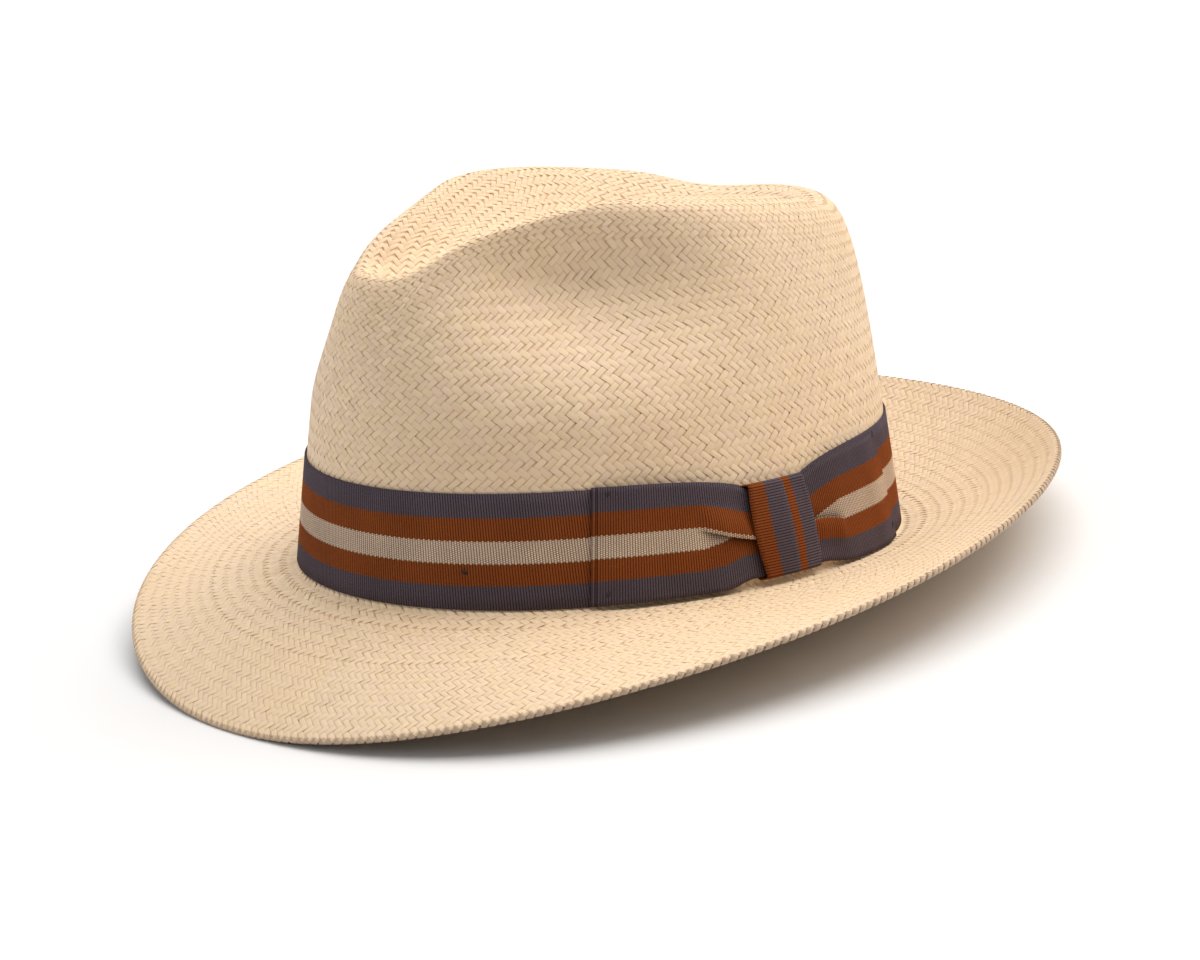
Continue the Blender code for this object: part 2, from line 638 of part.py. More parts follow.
def add_size_flap(look, parent):
    """Small flap that hangs from the sweatband's upper edge and swings about its seam."""
    here, along, down, inward = flap_frame()
    corner = here - along * (0.5 * FLAP_WIDTH) + down * GAP
    return add_box("size_flap", corner, (along * FLAP_WIDTH, down * FLAP_DROP, inward * FLAP), look, parent)


def add_flap_seam(look, parent):
    """Stitched seam that the size flap swings on."""
    here, along, _, _ = flap_frame()
    steps = np.linspace(-0.5, 0.5, 5)[:, None]
    path = here + along * steps * FLAP_WIDTH
    return add_swept("size_flap_seam", tube(path, THREAD_RADIUS, False), False, look, parent)


# --- the hat --------------------------------------------------------------------------------------

def build():
    """Makes every piece of the hat."""
    for existing in list(bpy.data.objects):
        bpy.data.objects.remove(existing, do_unlink=True)

    straw = material("straw", (0.80, 0.66, 0.46), 0.62)
    ribbon = material("striped_ribbon", (0.22, 0.09, 0.05), 0.75)
    knot = material("knot_ribbon", (0.10, 0.09, 0.11), 0.75)
    dark_thread = material("dark_thread", (0.05, 0.04, 0.05), 0.7)
    straw_thread = material("straw_thread", (0.70, 0.58, 0.42), 0.7)
    steel = material("spring_wire", (0.45, 0.45, 0.46), 0.4)
    band = material("sweatband_cloth", (0.62, 0.54, 0.44), 0.85)
    reed = material("sweatband_reed", (0.75, 0.70, 0.60), 0.5)
    satin = material("flap_satin", (0.85, 0.83, 0.78), 0.5)

    hat = bpy.data.objects.new("hat_frame", None)
    bpy.context.scene.collection.objects.link(hat)
    hat.rotation_euler = (REST_TILT, 0.0, 0.0)
    hat.location = (0.0, REST_SHIFT, REST_LIFT)

    add_straw_body(straw, hat)
    add_edge_wire(steel, hat)
    add_hem_stitching(straw_thread, hat)

    add_hat_band(ribbon, hat)
    add_bow_ribbon(ribbon, hat)
    add_bow_knot(knot, hat)
    on_band = GAP + RIBBON
    on_bow = on_band + 2.0 * LAYER
    reach = BOW_HALF_LENGTH - TACK_INSET
    for end, place in (("front", BOW_SHIFT - reach), ("rear", BOW_SHIFT + reach)):
        for level, height in (("low", TACK_LOW), ("high", TACK_HIGH)):
            angle = BOW_ANGLE + flared(place, height / RIBBON_WIDTH) / MM_PER_RADIAN
            add_tack(f"tack_bow_{end}_{level}", angle, RIBBON_FOOT + height, on_bow, dark_thread, hat)
    add_tack("tack_band", BAND_TACK_ANGLE, RIBBON_FOOT + BAND_TACK_HEIGHT, on_band, dark_thread, hat)

    add_sweatband(band, hat)
    add_sweatband_reed(reed, hat)
    add_sweatband_stitching(straw_thread, hat)
    add_sweatband_bow(band, hat)
    add_size_flap(satin, hat)
    add_flap_seam(straw_thread, hat)


build()
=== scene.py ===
import math

import bpy
import numpy as np
from mathutils import Matrix, Vector


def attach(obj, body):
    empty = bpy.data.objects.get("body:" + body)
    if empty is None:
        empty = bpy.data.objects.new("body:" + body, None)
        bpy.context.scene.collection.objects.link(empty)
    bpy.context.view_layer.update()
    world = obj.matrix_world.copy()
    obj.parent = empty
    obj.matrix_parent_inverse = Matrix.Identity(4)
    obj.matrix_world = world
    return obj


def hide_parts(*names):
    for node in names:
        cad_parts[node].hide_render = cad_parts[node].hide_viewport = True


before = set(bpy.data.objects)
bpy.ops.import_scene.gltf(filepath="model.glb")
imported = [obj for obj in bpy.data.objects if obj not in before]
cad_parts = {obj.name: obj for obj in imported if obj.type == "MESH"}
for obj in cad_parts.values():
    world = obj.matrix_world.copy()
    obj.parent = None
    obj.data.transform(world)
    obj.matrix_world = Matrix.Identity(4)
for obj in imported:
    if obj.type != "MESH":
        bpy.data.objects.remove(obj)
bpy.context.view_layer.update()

MM = 0.001
FULL_TURN = 2.0 * math.pi
UP = np.array([0.0, 0.0, 1.0])

# Shape of the hat, in its own frame: base of the crown at z = 0, front at -Y, wearer's left at +X
OPENING_HALF_WIDTH = 85.0 * MM
OPENING_HALF_LENGTH = 103.7 * MM
OPENING_WAVE = -0.9 * MM
FRONT_FULLNESS = 0.022
CROWN_HEIGHT = 115.6 * MM
CROWN_SLOPE = (-10.2 * MM, -11.2 * MM, 10.7 * MM)
SIDE_LEAN = 0.342
FRONT_LEAN = 0.027
BACK_LEAN = 0.056
SHOULDER_POWER_OUT = 21.3
SHOULDER_POWER_UP = 3.85
PINCH_SHARE = 0.393
PINCH_PLACE = -75.9 * MM
PINCH_LENGTH = 51.9 * MM
PINCH_START = 52.8 * MM
PINCH_RISE = 49.5 * MM
HOLLOW_SHARE = 0.20
HOLLOW_PLACE = -38.0 * MM
HOLLOW_LENGTH = 30.0 * MM
HOLLOW_HEIGHT = 93.0 * MM
HOLLOW_REACH = 17.0 * MM
DENT_DEPTH = 21.2 * MM
DENT_HALF_WIDTH_NOSE = 15.5 * MM
DENT_HALF_WIDTH_BACK = 37.7 * MM
DENT_END = 70.9 * MM
DENT_POWER_NOSE = 1.05
DENT_POWER_BACK = 1.60
DENT_FRONT_FADE = 25.0 * MM
DENT_BACK_FADE = 45.0 * MM
DENT_BACK_REACH = 18.0 * MM
BRIM_WIDTH = 56.8 * MM
BRIM_WIDTH_WAVE = 2.8 * MM
EDGE_HEIGHT_WAVES = (4.1 * MM, -27.7 * MM, -5.5 * MM, -0.9 * MM, -0.9 * MM)
BRIM_CURL = 0.6
BREAK_RADIUS = 2.0 * MM
FOLD_RADIUS = 0.85 * MM
HEM_WIDTH = 9.0 * MM
HEM_GAP_AT_LIP = 1.2 * MM
SHEET = 0.8 * MM
BRIM_SLOPE = 1.08  # share by which the brim's rise shortens its reach
SMALL_TURN = 0.01  # angle between neighbouring points that give a direction
FLATTENED = 0.05  # what is left of a depth below the table, where the brim is pressed flat
REST_TILT = math.radians(-7.29)
REST_LIFT = 13.6 * MM
REST_SHIFT = -1.7 * MM

# The straws
WALL_STRAWS = 170  # of each direction, round the crown's wall
BRIM_STRAWS = (200, 260, 330)  # in the brim's inner, middle and outer zones
BRIM_STEPS = (12.0 * MM, 30.0 * MM)  # where straws are added, from the crown's base
BRIM_RELIEF = (1.25, 0.72, 0.58)
BEHIND_BAND = 6.0 * MM  # height at which the brim's straws begin, behind the ribbon
ZONE_OVERLAP = 1.0 * MM
TOP_PITCH = 2.95 * MM  # from straw to straw on the crown's top
TOP_START = 2.75 * MM  # the wall's straws go up to where they get this close
CROWN_CLOSENESS = 0.78  # height of a row of crossings as a share of half the pitch
BRIM_CLOSENESS = 0.85
CROWN_RELIEF = 0.86
RING_ROWS = 4  # rows in each ring of the top, one full repeat of the twill
STRAW = 0.26 * MM  # thickness of one straw
STRAW_WAVE = 0.18 * MM  # how far a straw rises over its crossings and dips under them
STRAW_COVER = 1.0  # share of the space between its neighbours that a straw fills
STEPS_PER_CROSSING = 2
TUCK_ROWS = 0.6  # how far a straw's end goes under the next zone
TUCK = 0.25 * MM
RING_POINTS = 181  # places round the hat at which the weave is laid out
PLAIT_STRAWS = 6  # of each direction, in the plait at the middle of the top
PLAIT_REACH = 1.22  # how far its straws go, against the innermost ring's inner edge
RIM_FADE = 2.0 * MM  # over which the painted shade on the folded edge fades out onto the hem's straw

# Hat band, bow and knot
RIBBON_WIDTH = 35.0 * MM
RIBBON_FOOT = 1.0 * MM
CLOTH = 0.40 * MM
SNUG = 0.12 * MM  # air between two layers
RIB = 0.85 * MM  # width of one rib of the ribbon
RIB_RELIEF = 0.13 * MM
COLUMNS_PER_RIB = 4
LINE_POINTS = 1500  # points at which a line round the hat is measured
BAND_JOINT_GAP = 0.3 * MM
BOW_ANGLE = math.radians(90.0)
BOW_HALF_LENGTH = 66.1 * MM
BOW_SHIFT = 0.8 * MM
BOW_FLARE = 0.086  # share by which the bow is longer at its foot than at its top
BOW_SLOPE = -0.85 * MM  # the bow's top edge against the band's: lower at the rear end
BOW_DROP = -0.25 * MM
BOW_SWELL = 1.7 * MM
BOW_SWELL_RISE = 2.2  # how fast the swelling sets in from the bow's ends
KNOT_HALF_WIDTH = 12.7 * MM
KNOT_SHIFT = 1.7 * MM
KNOT_LEAN = 0.7 * MM  # the knot leans forward at its top
KNOT_MARGIN = 1.0 * MM
KNOT_INSET = 0.1 * MM  # the knot's height falls short of the ribbon's by this at each end
DRAW_BOW = 5.9 * MM  # how far the knot draws the bow's top edge down
DRAW_BAND = 5.0 * MM
DRAW_LENGTH = 14.5 * MM
GATHER_FOOT = 2.0 * MM
GATHER_FADE_FRONT = 11.5 * MM
GATHER_FADE_REAR = 17.0 * MM
LAYER = CLOTH + SNUG
MM_PER_RADIAN = OPENING_HALF_LENGTH


# --- shape of the hat ---

def smooth_step(value):
    """0 below 0, 1 above 1, and a smooth S between them."""
    value = np.clip(value, 0.0, 1.0)
    return value * value * (3.0 - 2.0 * value)


def unit(vectors):
    """The vectors, each scaled to length 1."""
    return vectors / np.maximum(np.linalg.norm(vectors, axis=-1, keepdims=True), 1e-12)


def walked_along(points):
    """Distance from the first point to each point of one line or of several lines."""
    step = np.linalg.norm(np.diff(points, axis=-2), axis=-1)
    return np.concatenate([np.zeros(step.shape[:-1] + (1,)), np.cumsum(step, axis=-1)], axis=-1)


def open_profile():
    """The crown's outline before it is creased: (out, up) shares from the top's middle to the base."""
    top_out = np.linspace(0.0, 0.80, 40)
    top_up = (1.0 - top_out ** SHOULDER_POWER_OUT) ** (1.0 / SHOULDER_POWER_UP)
    side_up = np.linspace(top_up[-1], 0.0, 161)[1:]
    side_out = (1.0 - side_up ** SHOULDER_POWER_UP) ** (1.0 / SHOULDER_POWER_OUT)
    return np.concatenate([top_out, side_out]), np.concatenate([top_up, side_up])


PROFILE_OUT, PROFILE_UP = open_profile()
MEAN_HALF = 0.5 * (OPENING_HALF_WIDTH + OPENING_HALF_LENGTH)
PROFILE_STEP = np.hypot(
    np.diff(PROFILE_OUT * (1.0 - 0.5 * SIDE_LEAN * PROFILE_UP)) * MEAN_HALF,
    np.diff(PROFILE_UP) * CROWN_HEIGHT,
)
PROFILE_LENGTH = np.concatenate([[0.0], np.cumsum(PROFILE_STEP)])
CROWN_LENGTH = PROFILE_LENGTH[-1]
FOLD_LENGTH = math.pi * FOLD_RADIUS
SHEET_LENGTH = CROWN_LENGTH + BRIM_WIDTH + FOLD_LENGTH + HEM_WIDTH


def crown_height_at(lengthwise):
    """Height of the uncreased crown at a share of its half length, -1 at the front and 1 at the back."""
    first, second, third = CROWN_SLOPE
    return CROWN_HEIGHT + first * lengthwise + second * lengthwise ** 2 + third * lengthwise ** 3


def crown_point(angle, out, up):
    """Middle of the straw on the creased crown, from shares of the open profile."""
    sine, cosine = np.sin(angle), -np.cos(angle)
    lean = np.where(cosine < 0.0, FRONT_LEAN, BACK_LEAN)
    x = OPENING_HALF_WIDTH * out * (1.0 - SIDE_LEAN * up) * sine * (1.0 - FRONT_FULLNESS * cosine)
    y = OPENING_HALF_LENGTH * out * (1.0 - lean * up) * cosine
    z = crown_height_at(y / OPENING_HALF_LENGTH) * up
    pinch = PINCH_SHARE * np.exp(-((y - PINCH_PLACE) / PINCH_LENGTH) ** 2)
    pinch = pinch * smooth_step((z - PINCH_START) / PINCH_RISE)
    hollow = HOLLOW_SHARE * np.exp(-((y - HOLLOW_PLACE) / HOLLOW_LENGTH) ** 2)
    hollow = hollow * np.exp(-((z - HOLLOW_HEIGHT) / HOLLOW_REACH) ** 2)
    x = x * (1.0 - pinch - hollow)
    nose = -OPENING_HALF_LENGTH * (1.0 - FRONT_LEAN)
    along = np.clip((y - nose) / (DENT_END - nose), 0.0, 1.0)
    growth = smooth_step(2.0 * along)
    half = DENT_HALF_WIDTH_NOSE + (DENT_HALF_WIDTH_BACK - DENT_HALF_WIDTH_NOSE) * growth
    power = DENT_POWER_NOSE + (DENT_POWER_BACK - DENT_POWER_NOSE) * along
    bowl = np.clip(1.0 - (x / half) ** 2, 0.0, 1.0) ** power
    fade = smooth_step((y - nose) / DENT_FRONT_FADE)
    fade = fade * smooth_step((DENT_END + DENT_BACK_REACH - y) / DENT_BACK_FADE)
    z = z - DENT_DEPTH * bowl * fade + OPENING_WAVE * np.cos(2.0 * angle) * (1.0 - up)
    return np.stack([x, y, z], axis=-1)


def crown_at(angle, length):
    """Crown point at a length along the straw from the top's middle."""
    out = np.interp(length, PROFILE_LENGTH, PROFILE_OUT)
    up = np.interp(length, PROFILE_LENGTH, PROFILE_UP)
    return crown_point(angle, out, up)


def wall_at(angle, height):
    """Crown wall point at a height over the base, on the straight lower part of the wall."""
    up = height / crown_height_at(-np.cos(angle))
    out = (1.0 - np.clip(up, 0.0, 1.0) ** SHOULDER_POWER_UP) ** (1.0 / SHOULDER_POWER_OUT)
    return crown_point(angle, out, up)


def opening_normal(angle):
    """Outward direction in plan, square to the oval of the opening."""
    x = OPENING_HALF_LENGTH * np.sin(angle)
    y = -OPENING_HALF_WIDTH * np.cos(angle)
    length = np.hypot(x, y)
    return np.stack([x / length, y / length, 0.0 * x], axis=-1)


def brim_at(angle, past):
    """Middle of the straw on the brim at a distance past the crown's base."""
    share = past / BRIM_WIDTH
    rise = sum(size * np.cos(order * angle) for order, size in enumerate(EDGE_HEIGHT_WAVES))
    width = BRIM_WIDTH + BRIM_WIDTH_WAVE * np.cos(2.0 * angle)
    reach = np.sqrt(width ** 2 - (BRIM_SLOPE * rise) ** 2)
    foot = crown_at(angle, CROWN_LENGTH)
    lift = rise * ((1.0 - BRIM_CURL) * share + BRIM_CURL * share ** 2)
    return foot + opening_normal(angle) * (reach * share)[..., None] + UP * lift[..., None]


def brim_frame(angle, past):
    """A point of the brim with its upward normal and its outward direction."""
    step = 1.0 * MM
    here = brim_at(angle, past)
    outward = unit(here - brim_at(angle, past - step))
    around = unit(brim_at(angle + SMALL_TURN, past) - brim_at(angle - SMALL_TURN, past))
    return here, unit(np.cross(outward, around)), outward


def corner_at(angle, past):
    """Rounding between the wall and the brim."""
    share = ((past + BREAK_RADIUS) / (2.0 * BREAK_RADIUS))[..., None]
    high = crown_at(angle, CROWN_LENGTH - BREAK_RADIUS)
    corner = crown_at(angle, CROWN_LENGTH)
    low = brim_at(angle, BREAK_RADIUS)
    return high * (1.0 - share) ** 2 + corner * 2.0 * share * (1.0 - share) + low * share ** 2


def fold_at(angle, past):
    """The edge, where the straw turns under round the wire."""
    turn = ((past - BRIM_WIDTH) / FOLD_RADIUS)[..., None]
    edge, upward, outward = brim_frame(angle, BRIM_WIDTH)
    return edge - upward * FOLD_RADIUS + FOLD_RADIUS * (np.cos(turn) * upward + np.sin(turn) * outward)


def hem_at(angle, past):
    """The folded-under layer, from the fold to the hem's lip."""
    back = past - BRIM_WIDTH - FOLD_LENGTH
    here, upward, _ = brim_frame(angle, BRIM_WIDTH - back)
    drop = 2.0 * FOLD_RADIUS + (HEM_GAP_AT_LIP - 2.0 * FOLD_RADIUS) * back / HEM_WIDTH
    return here - upward * drop[..., None]


def sheet_at(angle, length):
    """Middle of the straw at an angle and a length along it, from the top's middle to the hem's lip."""
    angle, length = np.broadcast_arrays(np.asarray(angle, float), np.asarray(length, float))
    past = length - CROWN_LENGTH
    zones = (
        (-1.0, -BREAK_RADIUS, lambda a, p: crown_at(a, p + CROWN_LENGTH)),
        (-BREAK_RADIUS, BREAK_RADIUS, corner_at),
        (BREAK_RADIUS, BRIM_WIDTH, brim_at),
        (BRIM_WIDTH, BRIM_WIDTH + FOLD_LENGTH, fold_at),
        (BRIM_WIDTH + FOLD_LENGTH, 1.0, hem_at),
    )
    result = np.zeros(angle.shape + (3,))
    for low, high, zone in zones:
        inside = (past >= low) & (past < high)
        if inside.any():
            result[inside] = zone(angle[inside], past[inside])
    return result


def turned_to_table(directions):
    """Directions in the hat's frame, turned to the frame of the table that the hat stands on."""
    return directions @ np.array(Matrix.Rotation(REST_TILT, 3, "X")).T


def to_table(points):
    """Hat frame to the table's frame, pressing the hat's feet flat."""
    rested = turned_to_table(points) + np.array([0.0, REST_SHIFT, REST_LIFT])
    height = rested[..., 2]
    rested[..., 2] = np.where(height < 0.0, FLATTENED * height, height)
    return rested


def wall_frame(angle, height):
    """A point of the wall with the direction that points out of it."""
    step = 0.5 * MM
    here = wall_at(angle, height)
    upward = unit(wall_at(angle, height + step) - wall_at(angle, height - step * (height > step)))
    around = unit(wall_at(angle + SMALL_TURN, height) - wall_at(angle - SMALL_TURN, height))
    return here, unit(np.cross(around, upward))


def off_straw(angle, height, distance, side=1.0):
    """A point at a distance off the wall's outer face, or off its inner face where side is -1."""
    here, outward = wall_frame(angle, height)
    return here + outward * side * np.expand_dims(0.5 * SHEET + distance, -1)


def inside_wall(angle, height, distance):
    """A point at a distance inside the inner face of the crown's straw."""
    return off_straw(angle, height, distance, -1.0)


# --- meshes ---

def quad_mesh(name, points, quads, corners_uv, values):
    """A smooth mesh of quads with its baking layout and point values; "facing" sets the normals."""
    a, b, c, d = (points[quads[:, corner]] for corner in range(4))
    if np.sum(np.cross(b - a, c - a) * a) + np.sum(np.cross(c - a, d - a) * a) < 0.0:
        quads, corners_uv = quads[:, ::-1], corners_uv[:, ::-1]
    mesh = bpy.data.meshes.new(name)
    mesh.vertices.add(len(points))
    mesh.vertices.foreach_set("co", np.ascontiguousarray(points, np.float32).ravel())
    mesh.loops.add(quads.size)
    mesh.loops.foreach_set("vertex_index", np.ascontiguousarray(quads, np.int32).ravel())
    mesh.polygons.add(len(quads))
    mesh.polygons.foreach_set("loop_start", np.arange(0, quads.size, 4, dtype=np.int32))
    mesh.update(calc_edges=True)
    mesh.validate()
    mesh.shade_smooth()
    layer = mesh.uv_layers.new(name="OFBake")
    layer.data.foreach_set("uv", np.ascontiguousarray(corners_uv, np.float32).ravel())
    facing = values.pop("facing", None)
    for key, value in values.items():
        kind, field = ("FLOAT_VECTOR", "vector") if value.ndim == 2 else ("FLOAT", "value")
        attribute = mesh.attributes.new(key, kind, "POINT")
        attribute.data.foreach_set(field, np.ascontiguousarray(value, np.float32).ravel())
    if facing is not None:
        mesh.normals_split_custom_set_from_vertices(turned_to_table(facing).tolist())
    return mesh


def add_object(name, data):
    """A new object in the scene."""
    made = bpy.data.objects.new(name, data)
    bpy.context.scene.collection.objects.link(made)
    return made


def add_piece(mesh, look, node, body="hat"):
    """Shows a mesh as a piece that rides on a body and stands for a CAD node."""
    mesh.materials.append(look)
    piece = add_object(mesh.name, mesh)
    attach(piece, body)
    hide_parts(node)


def swept_mesh(name, sections, values, closed=False, lanes=1):
    """Closed tubes: sections is (tubes, steps, corners, 3). Open tubes get caps made of quads."""
    tubes, steps, corners = sections.shape[:3]
    index = np.arange(tubes * steps * corners).reshape(tubes, steps, corners)
    ahead = np.roll(index, -1, axis=1) if closed else index[:, 1:]
    here = index if closed else index[:, :-1]
    quads = np.stack([here, np.roll(here, -1, axis=2), np.roll(ahead, -1, axis=2), ahead], axis=-1)
    spans = here.shape[1]

    tube, step, corner = np.meshgrid(np.arange(tubes), np.arange(spans), np.arange(corners), indexing="ij")
    lane_steps = math.ceil(spans / lanes)
    lane = step // lane_steps
    along = (step - lane * lane_steps) / lane_steps
    ahead_along = along + 1.0 / lane_steps
    rows = tubes * lanes
    low = (tube * lanes + lane + corner / corners) / rows
    high = low + 1.0 / (corners * rows)
    uv = np.stack([np.stack([along, low], -1), np.stack([along, high], -1),
                   np.stack([ahead_along, high], -1), np.stack([ahead_along, low], -1)], axis=-2)
    quads, uv = quads.reshape(-1, 4), uv.reshape(-1, 4, 2)
    if not closed:
        caps = []
        for end, order in ((0, slice(None, None, -1)), (steps - 1, slice(None))):
            for first in range(corners // 2 - 1):
                rung = [first, first + 1, corners - 2 - first, corners - 1 - first]
                caps.append(index[:, end, rung][:, order])
        caps = np.concatenate(caps)
        quads = np.concatenate([quads, caps])
        uv = np.concatenate([uv, np.full((len(caps), 4, 2), 0.5)])
    flat = {}
    for key, value in values.items():
        flat[key] = value.reshape(-1, 3) if value.ndim == 4 else value.ravel()
    return quad_mesh(name, to_table(sections.reshape(-1, 3)), quads, uv, flat)


# --- woven straw ---

def perimeter_at(length):
    """Length of the line round the hat at a length along the straw."""
    angle = np.arange(180) * FULL_TURN / 180
    ring = sheet_at(angle[None, :], np.atleast_1d(length)[:, None])
    return np.linalg.norm(np.roll(ring, -1, axis=1) - ring, axis=2).sum(axis=1)


def even_turns(lengths):
    """Angles that part each ring round the hat into equal steps, and the length of each ring."""
    angle = np.linspace(0.0, FULL_TURN, 4 * (RING_POINTS - 1) + 1)
    walked = walked_along(sheet_at(angle[None, :], lengths[:, None]))
    share = np.linspace(0.0, 1.0, RING_POINTS)
    turns = [np.interp(share, places / places[-1], angle) for places in walked]
    return np.stack(turns), walked[:, -1]


def between(table, first, second):
    """Values of a table at fractional places along its two axes."""
    low = np.clip(np.floor(first).astype(int), 0, table.shape[0] - 2)
    left = np.clip(np.floor(second).astype(int), 0, table.shape[1] - 2)
    down, right = first - low, second - left
    upper = table[low, left] * (1.0 - right) + table[low, left + 1] * right
    lower = table[low + 1, left] * (1.0 - right) + table[low + 1, left + 1] * right
    return upper * (1.0 - down) + lower * down


# Cross-section of a straw: (share of its half width, share of its half thickness)
STRAW_SECTION = ((-1.0, 0.0), (-0.90, -1.0), (0.90, -1.0), (1.0, 0.0), (0.90, 1.0), (-0.90, 1.0))
STRAW_ROUNDING = 0.16  # how far a straw's faces seem to curve towards its sides
ZONE_MARGIN = 2.5 * MM
ZONE_LINES = 260  # lines round the hat at which a zone is laid out
LEAST_LENGTH = 0.1 * MM  # keeps the lines off the middle of the top
WEAVE_TURN = 0.004  # between neighbouring points that give the sheet's directions
WEAVE_STEP = 0.3 * MM
BREADTH = (0.985, 0.055)  # mean and spread of a straw's breadth, as a share of the pitch
BREADTH_LIMITS = (0.86, 1.05)
DRIFT = 0.07  # how far a straw wanders to the side, as a share of the pitch
DRIFT_PACE = (0.10, 0.35)  # least and most turn of that wandering from row to row, in radians
TONE_OF_STRAW = 0.75  # how much a straw's tone differs from the others'
TONE_OF_STEP = 0.65  # how much it differs from crossing to crossing


def straw_tubes(here, normal, half, over, drop, row, tone, brick, relief):
    """Sections and point values of straws whose middles run through `here` (straws, steps, 3)."""
    height = relief * STRAW_WAVE * over - drop
    thick = 0.5 * relief * STRAW * (1.0 - 0.15 * np.abs(over))
    middle = here + normal * height[..., None]
    side = unit(half)
    upward = unit(np.cross(side, np.gradient(middle, axis=1)))
    upward = upward * np.where(np.sum(upward * normal, axis=-1, keepdims=True) < 0.0, -1.0, 1.0)
    corners, grain, facing = [], [], []
    for across, rise in STRAW_SECTION:
        corners.append(middle + half * across + normal * (rise * thick)[..., None])
        lean = across if rise == 0.0 else STRAW_ROUNDING * np.sign(across)
        facing.append(unit(upward * rise + side * lean))
        grain.append(np.stack([2.3 * row + 0.0 * over, across + 0.0 * over, 7.0 * tone + 0.0 * over], -1))
    sides = len(STRAW_SECTION)
    values = {
        "facing": np.stack(facing, axis=2),
        "grain": np.stack(grain, axis=2),
        "tone": np.repeat(relief * (TONE_OF_STRAW * tone + TONE_OF_STEP * brick)[..., None], sides, axis=2),
        "over": np.repeat((over - drop / STRAW_WAVE)[..., None], sides, axis=2),
        "depth": np.full(over.shape + (sides,), relief),
    }
    return np.stack(corners, axis=2), values


def weave(lean, count, start, stop, closeness, relief, seed, rows=None, tucks=(False, False), level=False):
    """Straws of one direction (lean 1 or -1) between two lengths along the sheet.

    Straws cross in rows round the hat. A straw passes over two crossings and under the next two, and
    the straws of the other lean do the reverse, so that rows of one slant alternate with rows of the
    other. Rows lie evenly along every line from the top to the rim, and straws evenly round each ring.
    Level rows are equally high all round near the zone's lower end. tucks tells whether the straws'
    ends go under the next zone at the start and at the stop.
    """
    lengths = np.linspace(max(start - ZONE_MARGIN, LEAST_LENGTH), stop + ZONE_MARGIN, ZONE_LINES)
    turns, round_hat = even_turns(lengths)
    grid = sheet_at(turns, lengths[:, None])
    pitch = round_hat / count
    stride = closeness * 0.25 * (pitch[1:] + pitch[:-1])
    step = np.linalg.norm(np.diff(grid, axis=0), axis=2) / stride[:, None]
    counted = np.concatenate([np.zeros((1, RING_POINTS)), np.cumsum(step, axis=0)])
    first = np.array([np.interp(start, lengths, line) for line in counted.T])
    last = np.array([np.interp(stop, lengths, line) for line in counted.T])
    total = rows or 4 * round(float(np.mean(last - first)) / 4)
    counted = (counted - first) * total / (last - first)
    if level:
        walk = np.concatenate([np.zeros((1, RING_POINTS)), np.cumsum(step * stride[:, None], axis=0)])
        reach = [np.interp(stop, lengths, line) - np.interp(start, lengths, line) for line in walk.T]
        share = reach / np.mean(reach)
        rise = 1.0 - counted / total
        inner = np.clip(rise, 0.0, 1.0)
        counted = total * (1.0 - rise - (share - 1.0) * (inner - inner ** 3))
    tuck_start, tuck_stop = (TUCK_ROWS * tuck for tuck in tucks)
    row = np.arange(-tuck_start, total + tuck_stop + 1e-6, 1.0 / STEPS_PER_CROSSING)
    row = np.append(row, total + tuck_stop) if row[-1] < total else row
    length_table = np.stack([np.interp(row, line, lengths) for line in counted.T])

    random = np.random.default_rng(seed + (lean > 0))
    tone = random.normal(0.0, 1.0, count)[:, None]
    breadth = np.clip(random.normal(*BREADTH, count), *BREADTH_LIMITS)[:, None]
    drift_phase = random.uniform(0.0, FULL_TURN, count)[:, None]
    drift_pace = random.uniform(*DRIFT_PACE, count)[:, None]
    drift = DRIFT * np.sin(drift_phase + drift_pace * row)
    bricks = random.normal(0.0, 1.0, (count, int(total) // 4 + 3))
    block = np.floor((row + (1.0 if lean > 0 else 3.0)) / 4.0).astype(int)
    brick = bricks[:, np.clip(block, 0, bricks.shape[1] - 1)]

    straws = np.arange(count)[:, None] + (0.5 if lean < 0 else 0.0)
    share = np.mod((straws + drift + 0.5 * lean * row) / count, 1.0)
    column = np.broadcast_to(np.arange(len(row)), share.shape)
    length = between(length_table, share * (RING_POINTS - 1), column)
    place = (length - lengths[0]) / (lengths[1] - lengths[0])
    angle = between(turns, place, share * (RING_POINTS - 1))
    here = sheet_at(angle, length)
    around = unit(sheet_at(angle + WEAVE_TURN, length) - sheet_at(angle - WEAVE_TURN, length))
    along = sheet_at(angle, length + WEAVE_STEP) - sheet_at(angle, length - WEAVE_STEP)
    normal = -unit(np.cross(around, along))
    tangent = unit(np.gradient(here, axis=1))
    side = around * np.interp(length, lengths, pitch)[..., None]
    side = side - tangent * np.sum(side * tangent, axis=-1, keepdims=True)
    half = 0.5 * STRAW_COVER * breadth[..., None] * side

    past = np.maximum(0.0, np.maximum(-row, row - total))
    over = np.where(past > 0.0, -np.sin(0.5 * math.pi * past), lean * np.sin(0.5 * math.pi * row))
    drop = TUCK * smooth_step(past / TUCK_ROWS) + 0.0 * angle
    sections, values = straw_tubes(here, normal, half, over + 0.0 * angle, drop, row, tone, brick, relief)
    turned = length - CROWN_LENGTH - BRIM_WIDTH
    # painted shade on the folded edge: 1 on the fold, fading out onto the hem
    rim = smooth_step(turned / FOLD_RADIUS) * smooth_step((FOLD_LENGTH + RIM_FADE - turned) / RIM_FADE)
    values["rim"] = np.repeat(rim[..., None], len(STRAW_SECTION), axis=2)
    return sections, values


